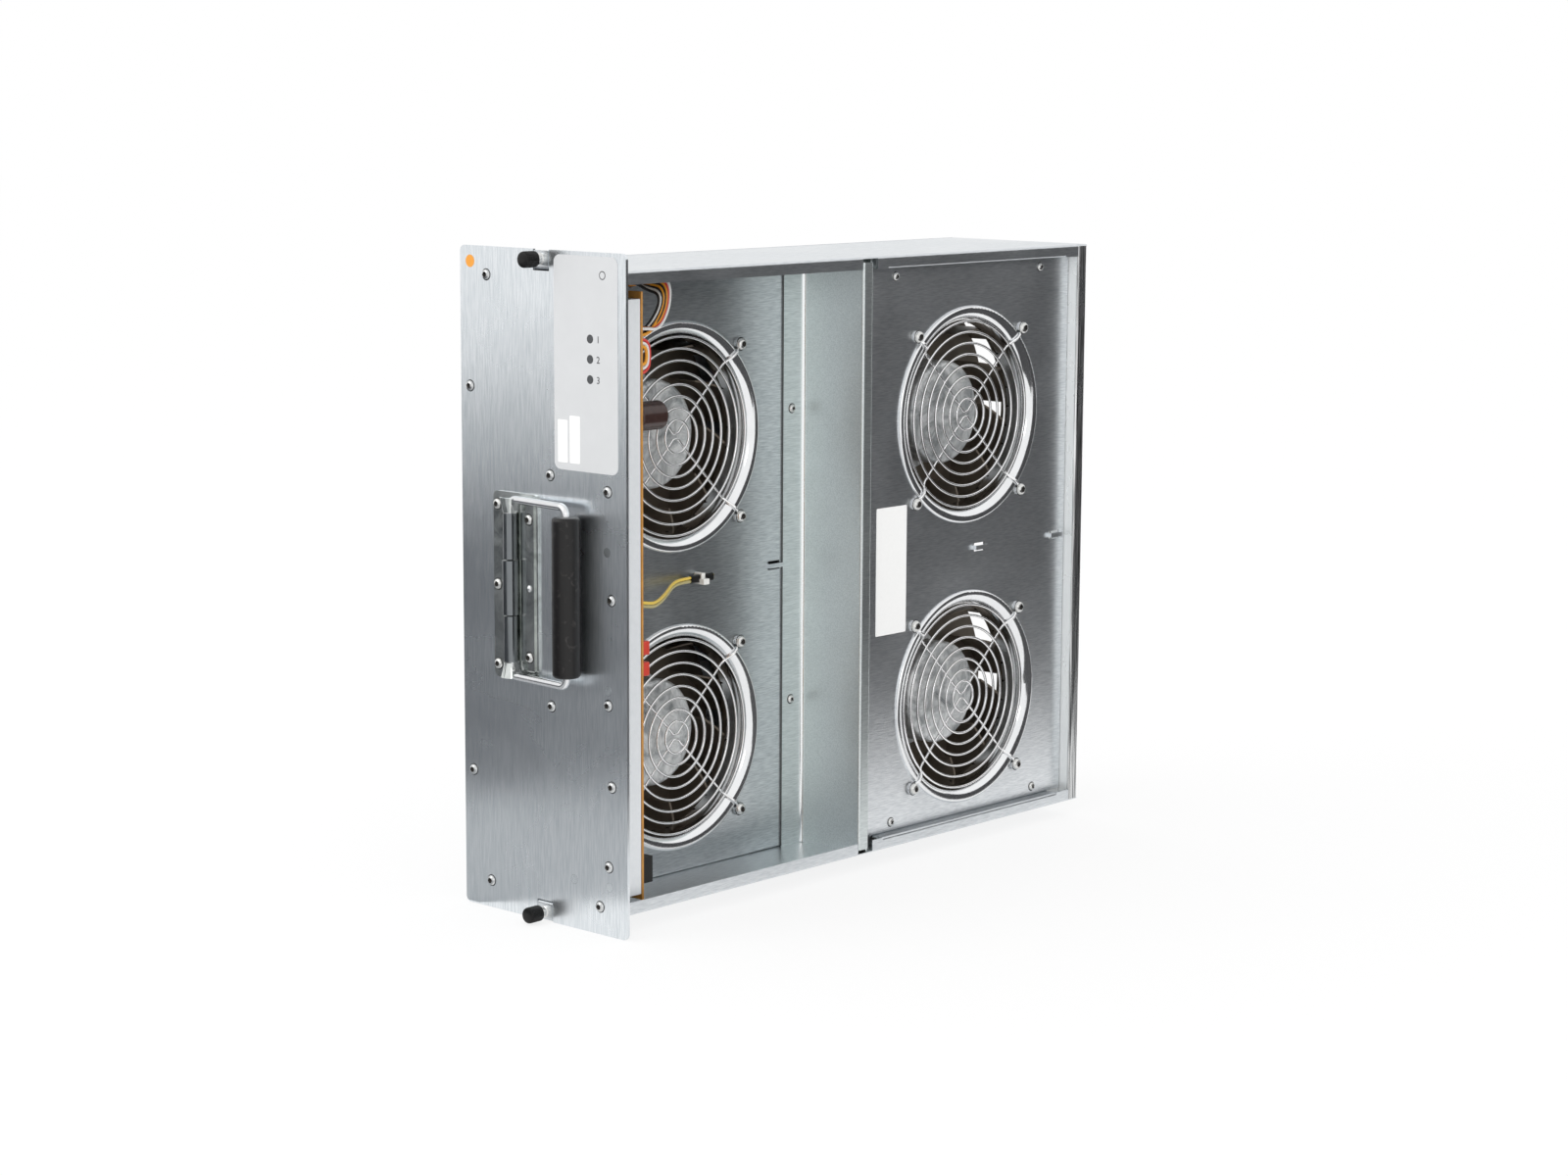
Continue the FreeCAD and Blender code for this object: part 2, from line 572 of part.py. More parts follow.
def rear_fan_panel():
    """Flat panel screwed on the ledges of the rails."""
    x = REAR_PANEL_X
    y0 = DIVIDER_Y + RIM + PANEL_GAP
    y1 = DEPTH - RIM - PANEL_GAP
    panel = box(x - SHEET, x, y0, y1, BOX_BOTTOM + FLANGE + PANEL_GAP, BOX_TOP - FLANGE - PANEL_GAP)
    cuts = fan_holes(x, ("rear_upper", "rear_lower"))
    cuts += [rod_x(x - 2 * SHEET, x + 1, y, z, SCREW_M3 + SCREW_FIT) for y, z in PANEL_SCREWS]
    ends = [REAR_FAN_Y + LANCE_LENGTH, y1 - LANCE_LENGTH / 2 - RIM_GAP]
    return with_lances(cut_all(panel, cuts), x, [(y, LEAD_Z) for y in ends])


def motor_stand():
    """Channel on the back panel that brings the rear motors up to the depth of their panel."""
    foot_x = BACK_X + SHEET
    y0 = REAR_FAN_Y - STAND_WIDTH / 2
    y1 = REAR_FAN_Y + STAND_WIDTH / 2
    path = [(foot_x, y1 + LAP), (foot_x, y1), (STAND_X, y1), (STAND_X, y0), (foot_x, y0), (foot_x, y0 - LAP)]
    stand = upright_sheet(path, LOWER_FAN_Z - STAND_WIDTH / 2, UPPER_FAN_Z + STAND_WIDTH / 2)
    cuts = []
    for name in ("rear_upper", "rear_lower"):
        x, y, z = FANS[name]
        inside = STAND_X - 2 * SHEET
        cuts += [rod_x(inside, STAND_X + 1, y + a, z + b, SCREW_M4 + SCREW_FIT) for a, b in MOTOR_BOLTS]
    return cut_all(stand, cuts)


# Fans: each piece is built about the Z axis, with height 0 at the panel's outer face


def inlet_ring():
    """Rolled bell mouth: round lip on the panel, elliptic inlet and short straight throat."""

    def face_edges(offset):
        centre = Vector(LIP_RADIUS, 0, -THROAT_START)
        crest = Vector(LIP_RADIUS, 0, LIP_HEIGHT - offset)
        throat = Vector(THROAT_RADIUS + offset, 0, -THROAT_START)
        rim = Vector(LIP_RADIUS + LIP_HEIGHT - offset, 0, 0)
        slant = (LIP_HEIGHT - offset) / math.sqrt(2)
        roll = Part.Arc(rim, Vector(LIP_RADIUS + slant, 0, slant), crest).toShape()
        inlet = Part.ArcOfEllipse(Part.Ellipse(crest, throat, centre), 0, math.pi / 2).toShape()
        end = Vector(throat.x, 0, -THROAT_END)
        return rim, end, [roll, inlet, line(throat, end)]

    outer_rim, outer_end, outer = face_edges(0)
    inner_rim, inner_end, inner = face_edges(RING_WALL)
    return turned(outer + inner + [line(outer_rim, inner_rim), line(outer_end, inner_end)])


def finger_guard():
    """Welded wire guard: rings in front of two bent spokes that end in eyelets on the panel."""
    half = GUARD_WIRE / 2
    ring_base = -GUARD_RECESS - half
    spoke_base = ring_base - GUARD_WIRE + GUARD_WELD
    bridge_base = LIP_HEIGHT + GUARD_LIFT
    pieces = []
    for i in range(GUARD_RINGS):
        radius = GUARD_FIRST_RING + GUARD_RING_STEP * i
        disc = Part.makeCylinder(radius + half, GUARD_WIRE, Vector(0, 0, ring_base))
        pieces.append(disc.cut(Part.makeCylinder(radius - half, GUARD_WIRE, Vector(0, 0, ring_base))))
    bolt = GUARD_BOLT_CIRCLE / 2
    knee = THROAT_RADIUS - GUARD_KNEE
    leg = (knee - GUARD_WIRE) / math.sqrt(2)
    lean = half / math.sqrt(2)
    bent = [(-leg + lean, leg + lean), (0, half * math.sqrt(2)), (leg - lean, leg + lean)]
    spoke = bent_sheet(bent, GUARD_WIRE, GUARD_HUB_BEND, GUARD_WIRE).translated(Vector(0, 0, spoke_base))
    # Side outline of a leg: out of the bell mouth, over the lip and down to the eyelet under the screw's head
    start = knee - 4 * GUARD_WIRE
    crest = knee + (bridge_base - spoke_base) / math.tan(math.radians(GUARD_SLOPE))
    back = GUARD_WIRE * math.tan(math.radians(GUARD_SLOPE / 2))
    landing = LIP_RADIUS + LIP_HEIGHT + 2 * GUARD_LIFT
    head_edge = bolt - PAN_HEAD_M4 - GUARD_WELD / 2
    foot_outline = [(start, spoke_base), (knee, spoke_base), (crest, bridge_base)]
    foot_outline += [(landing - GUARD_STEP, bridge_base), (landing, 0), (bolt - half, 0)]
    foot_outline += [(bolt - half, GUARD_WIRE), (head_edge, GUARD_WIRE)]
    bridge_top = bridge_base + GUARD_WIRE
    spoke_top = spoke_base + GUARD_WIRE
    foot_outline += [(head_edge - GUARD_STEP, bridge_top), (crest - back, bridge_top)]
    foot_outline += [(knee - back, spoke_top), (start, spoke_top)]
    corners = [Vector(r, -half, w) for r, w in foot_outline]
    foot = Part.Face(Part.makePolygon(corners + corners[:1])).extrude(Vector(0, GUARD_WIRE, 0))
    flats = [math.radians(22.5 + 45 * i) for i in range(9)]
    rim = [Vector(bolt + EYELET_RADIUS * math.cos(a), EYELET_RADIUS * math.sin(a), 0) for a in flats]
    eyelet = Part.Face(Part.makePolygon(rim)).extrude(Vector(0, 0, GUARD_WIRE))
    for angle in (45, 135, 225, 315):
        pieces.append(foot.rotated(Vector(0, 0, 0), Vector(0, 0, 1), angle))
        pieces.append(eyelet.rotated(Vector(0, 0, 0), Vector(0, 0, 1), angle))
    pieces.append(spoke)
    pieces.append(spoke.rotated(Vector(0, 0, 0), Vector(0, 0, 1), 180))
    hole = SCREW_M4 + SCREW_FIT
    holes = [Part.makeCylinder(hole, 3 * GUARD_WIRE, Vector(a, b, -1)) for a, b in GUARD_BOLTS]
    return cut_all(joined(pieces), holes)


def impeller():
    """Backward-curved wheel: collar and flared shroud, curved blades and flat back plate."""
    bend_x = COLLAR_RADIUS + SHROUD_BEND
    bend_w = -COLLAR_START - COLLAR_LENGTH

    def flare(radius):
        start = Vector(bend_x, 0, bend_w - radius)
        end = Vector(bend_x - radius, 0, bend_w)
        slant = radius / math.sqrt(2)
        return start, end, Part.Arc(start, Vector(bend_x - slant, 0, bend_w - slant), end).toShape()

    low, neck, inside = flare(SHROUD_BEND)
    high, collar, outside = flare(SHROUD_BEND - WHEEL_SHEET)
    rim = [Vector(WHEEL_RADIUS, 0, low.z), Vector(WHEEL_RADIUS, 0, high.z)]
    top = [Vector(neck.x, 0, -COLLAR_START), Vector(collar.x, 0, -COLLAR_START)]
    edges = [inside, line(low, rim[0]), line(rim[0], rim[1]), line(rim[1], high), outside]
    edges += [line(collar, top[1]), line(top[1], top[0]), line(top[0], neck)]
    shroud = turned(edges)
    bore = ROTOR_RADIUS + SCREW_FIT
    seat = -WHEEL_DEPTH + WHEEL_SHEET
    under = -WHEEL_DEPTH
    back = turned_outline([(bore, under), (WHEEL_RADIUS, under), (WHEEL_RADIUS, seat), (bore, seat)])
    # Room that the blades fill, between the middle of the back plate's sheet and the middle of the shroud's
    middle, throat, guide = flare(SHROUD_BEND - WHEEL_SHEET / 2)
    floor = -WHEEL_DEPTH + WHEEL_SHEET / 2
    blade_rim = WHEEL_RADIUS - WHEEL_SHEET / 2
    lead_top = Vector(throat.x, 0, bend_w - COLLAR_START / 4)
    lead = Vector(BLADE_INNER_RADIUS, 0, lead_top.z - (throat.x - BLADE_INNER_RADIUS))
    points = [lead_top, lead, Vector(BLADE_INNER_RADIUS, 0, floor), Vector(blade_rim, 0, floor)]
    points.append(Vector(blade_rim, 0, middle.z))
    room = [line(a, b) for a, b in zip(points, points[1:])]
    room = turned(room + [line(points[-1], middle), guide, line(throat, lead_top)])

    def blade_edge(grow):
        middle_radius = (BLADE_INNER_RADIUS + WHEEL_RADIUS) / 2
        spots = [(BLADE_INNER_RADIUS - WHEEL_SHEET, 0)]
        spots.append((middle_radius, -math.radians(BLADE_SWEEP_MIDDLE)))
        spots.append((WHEEL_RADIUS, -math.radians(BLADE_SWEEP)))
        ends = [Vector(r * math.cos(a), r * math.sin(a), floor) for r, a in spots]
        arc = Part.Arc(*ends).toShape().Curve
        scale = 1 + grow / arc.Radius
        return [arc.Center + (p - arc.Center) * scale for p in ends]

    near = blade_edge(0)
    far = blade_edge(WHEEL_SHEET)
    outline = [Part.Arc(*near).toShape(), line(near[2], far[2])]
    outline += [Part.Arc(*far).toShape(), line(far[0], near[0])]
    blade = Part.Face(Part.Wire(Part.sortEdges(outline)[0])).extrude(Vector(0, 0, WHEEL_DEPTH)).common(room)
    blades = [blade.rotated(Vector(0, 0, 0), Vector(0, 0, 1), 360 / BLADES * i) for i in range(BLADES)]
    return joined([shroud, back] + blades)


def rotor():
    """Domed rotor cup of the motor with its shaft; a flange carries the wheel's back plate."""
    inner = ROTOR_RADIUS - ROTOR_WALL
    crown = Vector(0, 0, -ROTOR_TOP)
    shoulder = Vector(ROTOR_RADIUS - ROTOR_CORNER, 0, -ROTOR_SHOULDER)
    side = Vector(ROTOR_RADIUS, 0, -ROTOR_SHOULDER - ROTOR_CORNER)
    sag = (ROTOR_SHOULDER - ROTOR_TOP) / 4
    dome = Part.Arc(crown, Vector(shoulder.x / 2, 0, -ROTOR_TOP - sag), shoulder).toShape()
    slant = ROTOR_CORNER / math.sqrt(2)
    corner = Part.Arc(shoulder, Vector(shoulder.x + slant, 0, side.z + slant), side).toShape()
    seat = -WHEEL_DEPTH + WHEEL_SHEET
    ceiling = side.z + ROTOR_WALL
    flange = ROTOR_RADIUS + ROTOR_FLANGE
    top = seat + WHEEL_SHEET
    steps = [(ROTOR_RADIUS, top), (flange, top), (flange, seat), (ROTOR_RADIUS, seat)]
    steps += [(ROTOR_RADIUS, -WHEEL_DEPTH), (inner, -WHEEL_DEPTH), (inner, ceiling)]
    steps += [(SHAFT_RADIUS, ceiling), (SHAFT_RADIUS, -MOTOR_BASE_TOP), (0, -MOTOR_BASE_TOP)]
    points = [side] + [Vector(r, 0, w) for r, w in steps] + [crown]
    return turned([dome, corner] + [line(a, b) for a, b in zip(points, points[1:])])


def bearing_heights():
    top = -ROTOR_SHOULDER - ROTOR_CORNER + ROTOR_WALL - STATOR_AIR_GAP
    return [top - BEARING_WIDTH, -MOTOR_BASE_TOP + STATOR_AIR_GAP]


def stator():
    """Motor base: mounting flange, neck and wound core inside the rotor cup, bored for two bearings."""
    core_radius = ROTOR_RADIUS - ROTOR_WALL - STATOR_AIR_GAP
    core_top = bearing_heights()[0] + BEARING_WIDTH
    bore = SHAFT_RADIUS + STATOR_AIR_GAP
    seat = BEARING_RADIUS
    upper, lower = bearing_heights()
    neck = core_radius - MOTOR_NECK_STEP
    pocket = -MOTOR_BASE_TOP - STATOR_AIR_GAP
    body = turned_outline([
        (bore, upper), (seat, upper), (seat, core_top), (core_radius, core_top),
        (core_radius, -WHEEL_DEPTH), (neck, -WHEEL_DEPTH), (neck, -MOTOR_BASE_TOP),
        (MOTOR_BASE_RADIUS, -MOTOR_BASE_TOP), (MOTOR_BASE_RADIUS, -MOTOR_DEPTH), (0, -MOTOR_DEPTH),
        (0, pocket), (seat, pocket), (seat, lower + BEARING_WIDTH), (bore, lower + BEARING_WIDTH),
    ])
    hole = SCREW_M4 + SCREW_FIT
    holes = [Part.makeCylinder(hole, MOTOR_SCREW_BITE, Vector(a, b, -MOTOR_DEPTH)) for a, b in MOTOR_BOLTS]
    return cut_all(body, holes)


def bearings():
    rings = []
    for base in bearing_heights():
        race = Part.makeCylinder(BEARING_RADIUS, BEARING_WIDTH, Vector(0, 0, base))
        bore = Part.makeCylinder(SHAFT_RADIUS + SHAFT_CLEARANCE, BEARING_WIDTH, Vector(0, 0, base))
        rings.append(race.cut(bore))
    return rings


def guard_screws():
    screws = []
    for x, y, z in FANS.values():
        for a, b in GUARD_BOLTS:
            seat = Vector(x + GUARD_WIRE, y + a, z + b)
            screws.append(pan_screw(Vector(1, 0, 0), PAN_HEAD_M4, HEAD_M4, SCREW_M4, SCREW_LENGTH, seat))
    return screws


def motor_screws():
    screws = []
    for x, y, z in FANS.values():
        for a, b in MOTOR_BOLTS:
            seat = Vector(x - MOTOR_DEPTH - SHEET, y + a, z + b)
            length = SHEET + MOTOR_SCREW_BITE - SCREW_FIT
            screws.append(pan_screw(Vector(-1, 0, 0), PAN_HEAD_M4, HEAD_M4, SCREW_M4, length, seat))
    return screws


def panel_screws():
    """Corner screws of the rear fan panel and the two screws in the divider's foot."""
    out = Vector(1, 0, 0)
    seats = [Vector(REAR_PANEL_X, y, z) for y, z in PANEL_SCREWS]
    seats += [Vector(BAY_PANEL_X + SHEET, y, z) for y, z in FOOT_SCREWS]
    return [pan_screw(out, PAN_HEAD_M3, HEAD_M3, SCREW_M3, SCREW_LENGTH, seat) for seat in seats]


def faceplate_screws():
    out = Vector(0, -1, 0)
    seats = [Vector(x, 0, z) for x, z in FACE_SCREWS]
    return [pan_screw(out, BUTTON_HEAD_M3, HEAD_M3, SCREW_M3, SCREW_LENGTH, seat) for seat in seats]


# Control bay


def board_bracket():
    """Folded bracket behind the faceplate that carries the control board and laps onto the front panel."""
    wall_x = BRACKET_X - SHEET
    web_y = BRACKET_DEPTH - SHEET
    foot_x = BAY_PANEL_X + SHEET
    path = [(wall_x + BRACKET_FLANGE, FACE_THICKNESS), (wall_x, FACE_THICKNESS), (wall_x, web_y)]
    path += [(foot_x, web_y), (foot_x, web_y - LAP)]
    bracket = upright_sheet(path, BRACKET_BOTTOM, BRACKET_TOP)
    front = FACE_THICKNESS
    cuts = [rod_y(x, front - 1, front + 2 * SHEET, z, SCREW_M3 + SCREW_FIT) for x, z in FACE_SCREWS_BRACKET]
    cuts += [rod_y(x, web_y - 1, web_y + 2 * SHEET, z, SCREW_M3 + SCREW_FIT) for x, z in BOARD_SCREWS]
    cuts += [rod_y(x, web_y - 1, web_y + 2 * SHEET, z, LAMP_RADIUS + SCREW_FIT) for x, z in LAMPS]
    return cut_all(bracket, cuts)


def control_board():
    board = box(BOARD_LEFT, BOARD_RIGHT, BOARD_Y, BOARD_BACK, BOARD_BOTTOM, BOARD_TOP)
    holes = [rod_y(x, BOARD_Y - 1, BOARD_BACK + 1, z, SCREW_M3 + SCREW_FIT) for x, z in BOARD_SCREWS]
    return cut_all(board, holes)


def board_screws():
    """Screws through the board, each with its spacer collar between bracket and board."""
    screws = []
    for x, z in BOARD_SCREWS:
        seat = Vector(x, BOARD_BACK, z)
        screw = pan_screw(Vector(0, 1, 0), PAN_HEAD_M3, HEAD_M3, SCREW_M3, SCREW_LENGTH, seat)
        screws.append(joined([screw, rod_y(x, BRACKET_DEPTH, BOARD_Y, z, PAN_HEAD_M3)]))
    return screws


def capacitor():
    can = rod_y(CAPACITOR_X, BOARD_BACK, BOARD_BACK + CAPACITOR_LENGTH, CAPACITOR_Z, CAPACITOR_RADIUS)
    return can.makeFillet(CAPACITOR_RADIUS / 6, [e for e in can.Edges if e.Closed])


def film_capacitors():
    top = MIDDLE_Z - FILM_DROP
    parts = []
    for z in (top, top + 1.5 * FILM_HEIGHT):
        part = box(CAPACITOR_X, BOARD_RIGHT, BOARD_BACK, BOARD_BACK + FILM_OUT, z - FILM_HEIGHT, z)
        parts.append(part.makeFillet(FILM_HEIGHT / 9, part.Edges))
    return parts


def board_connectors():
    """Plug of the fan harness near the top, plug of the tied lead in the middle, tray plug at the bottom."""
    half = PLUG_SIZE / 2
    top = box(HARNESS_X - half, HARNESS_X + half, BOARD_BACK, PLUG_BACK, PLUG_Z - half, PLUG_Z + half)
    half = LEAD_PLUG_WIDTH / 2
    tall = LEAD_PLUG_HEIGHT / 2
    z = LEAD_Z - LEAD_RISE
    middle = box(LEAD_X - half, LEAD_X + half, BOARD_BACK, PLUG_BACK, z - tall, z + tall)
    base = BOARD_BOTTOM + TRAY_PLUG_RISE
    left = BOARD_RIGHT - TRAY_PLUG_WIDTH
    bottom = box(left, BOARD_RIGHT, BOARD_BACK, PLUG_BACK, base, base + TRAY_PLUG_HEIGHT)
    return [top, middle, bottom]


def light_pipes():
    return [rod_y(x, 0, BOARD_Y, z, LAMP_RADIUS) for x, z in LAMPS]


def label_overlay():
    right = FACE_WIDTH / 2 - LABEL_SIDE_GAP
    top = FACE_HEIGHT - LABEL_TOP_GAP
    label = box(right - LABEL_WIDTH, right, -LABEL_THICKNESS, 0, top - LABEL_HEIGHT, top)
    return label.makeFillet(FACE_CORNER, edges_along_y(label))


def fan_harness():
    """Four wires from the fan chamber, down and forward to the board's plug, and two short loops below it."""
    wires = []
    for side, rise in CORNERS:
        across = side * (WIRE_RADIUS + SCREW_FIT)
        above = rise * (WIRE_RADIUS + SCREW_FIT)
        x = HARNESS_X + above
        y = HARNESS_Y + across
        route = [(BAY_PANEL_X - LAP, y, HARNESS_Z + above), (x, y, HARNESS_Z + above)]
        route += [(x, y, PLUG_Z - across), (x, PLUG_BACK, PLUG_Z - across)]
        wires.append(cord(route, [HARNESS_BEND + above, HARNESS_BEND + across], WIRE_RADIUS))
    out = BOARD_BACK + JUMPER_OUT
    high = PLUG_Z - JUMPER_DROP
    low = high - JUMPER_HEIGHT
    for x in (BOARD_RIGHT - WIRE_RADIUS, BOARD_RIGHT - WIRE_RADIUS - JUMPER_STEP):
        route = [(x, BOARD_BACK, high), (x, out, high), (x, out, low), (x, BOARD_BACK, low)]
        wires.append(cord(route, [JUMPER_OUT / 2, JUMPER_OUT / 2], WIRE_RADIUS))
    return wires


def lead_route(z):
    rest_x = BAY_PANEL_X + LANCE_RISE + LEAD_GAP + SLEEVE_WALL + WIRE_RADIUS
    start = [(LEAD_X, PLUG_BACK, z - LEAD_RISE), (LEAD_X, PLUG_BACK + LEAD_STRAIGHT, z - LEAD_RISE)]
    end = [(rest_x, TIE_Y - 2 * LEAD_STRAIGHT, z), (rest_x, TIE_Y + LEAD_STRAIGHT, z)]
    return start + end


def fan_lead():
    """Pair of wires from the board across the bay to the tie on the front fan panel."""
    spread = WIRE_RADIUS + SCREW_FIT
    return [cord(lead_route(LEAD_Z + side * spread), LEAD_BENDS, WIRE_RADIUS) for side in (-1, 1)]


def lead_sleeve():
    """Flat sleeve on the pair, through the tie and almost to the tips of the wires."""
    x, y, z = lead_route(LEAD_Z)[-1]
    start = TIE_Y - SLEEVE_BEFORE_TIE
    end = y - TIP_LENGTH
    spread = WIRE_RADIUS + SCREW_FIT
    radius = WIRE_RADIUS + SLEEVE_WALL
    sides = [rod_y(x, start, end, z + side * spread, radius) for side in (-1, 1)]
    sleeve = joined([box(x - radius, x + radius, start, end, z - spread, z + spread)] + sides)
    hole = WIRE_RADIUS + SCREW_FIT / 2
    return cut_all(sleeve, [rod_y(x, start, end, z + side * spread, hole) for side in (-1, 1)])


def cable_tie():
    """Band around the pair and through the lanced bridge, with its lock."""
    x, y, z = lead_route(LEAD_Z)[-1]
    low = BAY_PANEL_X + TIE_GAP
    high = x + WIRE_RADIUS + SLEEVE_WALL + SCREW_FIT
    half = 2 * WIRE_RADIUS + SLEEVE_WALL + 2 * SCREW_FIT
    y0 = TIE_Y - TIE_WIDTH / 2
    y1 = TIE_Y + TIE_WIDTH / 2
    outer = box(low, high + TIE_BAND, y0, y1, z - half - TIE_BAND, z + half + TIE_BAND)
    band = outer.cut(box(low + TIE_BAND, high, y0 - 1, y1 + 1, z - half, z + half))
    lock = box(high, high + TIE_LOCK, y0 - TIE_BAND, y1 + TIE_BAND, z - half - TIE_BAND, z)
    return joined([band, lock])


# Rear connector


def connector_bracket():
    y = DEPTH - CONNECTOR_INSET
    path = [(y - LAP, INNER_BOTTOM), (y, INNER_BOTTOM), (y, INNER_BOTTOM + CONNECTOR_HEIGHT)]
    width = CONNECTOR_WIDTH + 2 * LAP
    angle = bent_sheet(path[::-1], SHEET, BEND, width)
    return angle.rotated(Vector(0, 0, 0), Vector(1, 1, 1), 120).translated(Vector(-width / 2, 0, 0))


def rear_connector():
    """Blind-mate shell with a row of contact cavities and a lead-in rim."""
    y = DEPTH - CONNECTOR_INSET
    z = INNER_BOTTOM + CONNECTOR_HEIGHT / 2
    half = CONNECTOR_WIDTH / 2
    tall = SHELL_HEIGHT / 2
    shell = box(-half, half, y, DEPTH, z - tall, z + tall)
    half -= SHELL_WALL
    tall -= SHELL_WALL
    cuts = [box(-half, half, DEPTH - SHELL_RIM, DEPTH + 1, z - tall, z + tall)]
    step = CONNECTOR_WIDTH / (CAVITIES + 1)
    tall = CAVITY_HEIGHT / 2
    for i in range(CAVITIES):
        left = step * (i - (CAVITIES - 1) / 2) - CAVITY_WIDTH / 2
        cuts.append(box(left, left + CAVITY_WIDTH, DEPTH - CAVITY_DEPTH, DEPTH, z - tall, z + tall))
    return cut_all(shell, cuts)


# Folding handle


def handle_doubler():
    """Stiffener behind the faceplate under the handle."""
    x0 = HANDLE_X - HANDLE_WIDTH / 2 - SCREW_M3
    x1 = DOUBLER_SCREW_X + LAP / 2
    half = DOUBLER_SCREW_SPACING / 2 + LAP / 2
    plate = box(x0, x1, FACE_THICKNESS, FACE_THICKNESS + SHEET, HANDLE_Z - half, HANDLE_Z + half)
    back = FACE_THICKNESS + 2 * SHEET
    places = FACE_SCREWS_DOUBLER + HANDLE_SCREWS
    return cut_all(plate, [rod_y(x, 0, back, z, SCREW_M3 + SCREW_FIT) for x, z in places])


def handle_plate():
    """Base plate with a raised leaf and three rolled knuckles that hold the bail's ends."""
    x0 = HANDLE_X - HANDLE_WIDTH / 2
    x1 = HANDLE_X + HANDLE_WIDTH / 2
    z0 = HANDLE_Z - HANDLE_HEIGHT / 2
    z1 = HANDLE_Z + HANDLE_HEIGHT / 2
    plate = box(x0, x1, -HANDLE_PLATE, 0, z0, z1)
    plate = plate.makeFillet(FACE_CORNER, edges_along_y(plate))
    leaf_x = HANDLE_X + BARREL_MIDDLE_RADIUS + 1
    leaf_y = -HANDLE_PLATE - LEAF_THICKNESS
    leaf = box(leaf_x, x1 - LEAF_SIDE_GAP, leaf_y, -HANDLE_PLATE / 2, z0 + LEAF_END_GAP, z1 - LEAF_END_GAP)
    end = BARREL_LENGTH / 2
    barrel = rod_z(HANDLE_X, BARREL_Y, HANDLE_Z - end, HANDLE_Z + end, BARREL_RADIUS)
    middle = BARREL_MIDDLE / 2
    spring_cover = rod_z(HANDLE_X, BARREL_Y, HANDLE_Z - middle, HANDLE_Z + middle, BARREL_MIDDLE_RADIUS)
    wall_x = HANDLE_X - BARREL_RADIUS
    roll = box(wall_x, wall_x + HANDLE_PLATE, BARREL_Y, -HANDLE_PLATE / 2, HANDLE_Z - end, HANDLE_Z + end)
    bore = rod_z(HANDLE_X, BARREL_Y, z0, z1, BAIL_WIRE_RADIUS + BAIL_CLEARANCE)
    cuts = [rod_y(x, leaf_y - 1, 1, z, SCREW_M3 + SCREW_FIT) for x, z in HANDLE_SCREWS]
    gap = KNUCKLE_GAP / 2
    for z in (HANDLE_Z - middle, HANDLE_Z + middle):
        ring = rod_z(HANDLE_X, BARREL_Y, z - gap, z + gap, 2 * BARREL_RADIUS)
        cuts.append(ring.common(box(x0, x1, 2 * BARREL_Y, leaf_y, z0, z1)))
    return cut_all(joined([plate, leaf, barrel, spring_cover, roll]), cuts + [bore])


def folded(shape):
    """Move a piece built with the bail's hinge on the Z axis and the bail along X to its folded place."""
    lean = -math.degrees(math.asin(BAIL_LEAN / BAIL_REACH))
    leaning = shape.rotated(Vector(0, 0, 0), Vector(0, 0, 1), lean)
    return leaning.translated(Vector(HANDLE_X, BARREL_Y, HANDLE_Z))


def handle_bail():
    half = BAIL_SPAN / 2
    pin = BARREL_LENGTH / 2 - BAIL_PIN
    upper = [(0, 0, pin), (0, 0, half), (BAIL_REACH, 0, half)]
    route = upper + [(x, y, -z) for x, y, z in upper[::-1]]
    bends = [BAIL_END_BEND, BAIL_GRIP_BEND, BAIL_GRIP_BEND, BAIL_END_BEND]
    return folded(cord(route, bends, BAIL_WIRE_RADIUS))


def handle_grip():
    half = GRIP_LENGTH / 2
    grip = rod_z(BAIL_REACH, 0, -half, half, GRIP_RADIUS)
    grip = grip.makeFillet(GRIP_EDGE, [e for e in grip.Edges if e.Closed])
    return folded(grip.cut(rod_z(BAIL_REACH, 0, -half, half, BAIL_WIRE_RADIUS + SCREW_FIT)))


def handle_screws():
    out = Vector(0, -1, 0)
    seats = [Vector(x, -HANDLE_PLATE, z) for x, z in HANDLE_SCREWS_PLATE]
    seats += [Vector(x, -HANDLE_PLATE - LEAF_THICKNESS, z) for x, z in HANDLE_SCREWS_LEAF]
    return [pan_screw(out, BUTTON_HEAD_M3, HEAD_M3, SCREW_M3, SCREW_LENGTH, seat) for seat in seats]


# Captive screws


def captive_ferrule(z):
    collar = rod_y(0, -FERRULE_OUT, 0, z, FERRULE_RADIUS)
    shank = rod_y(0, 0, SHEET, z, FERRULE_SHANK)
    return joined([collar, shank]).cut(rod_y(0, -2 * FERRULE_OUT, 2 * SHEET, z, SCREW_M4 + SHAFT_CLEARANCE))


def captive_knob(z):
    front = -KNOB_START - KNOB_LENGTH
    knob = rod_y(0, front, -KNOB_START, z, KNOB_RADIUS)
    knob = knob.makeFillet(KNOB_EDGE, [e for e in knob.Edges if e.Closed])
    cavity = rod_y(0, -KNOB_START - KNOB_CAVITY_DEPTH, 0, z, FERRULE_RADIUS + KNOB_CAVITY_GAP)
    return cut_all(knob, [cavity, rod_y(0, front + KNOB_CAP, 0, z, CAPTIVE_NECK)])


def captive_screw(z):
    """Necked shank from the knob through ferrule and washer, with the full thread behind the washer."""
    thread_start = SHEET + WASHER_GAP + WASHER_THICKNESS + THREAD_GAP
    neck = rod_y(0, -KNOB_START - KNOB_LENGTH + KNOB_CAP, thread_start, z, CAPTIVE_NECK)
    return joined([neck, rod_y(0, thread_start, CAPTIVE_TIP, z, SCREW_M4)])


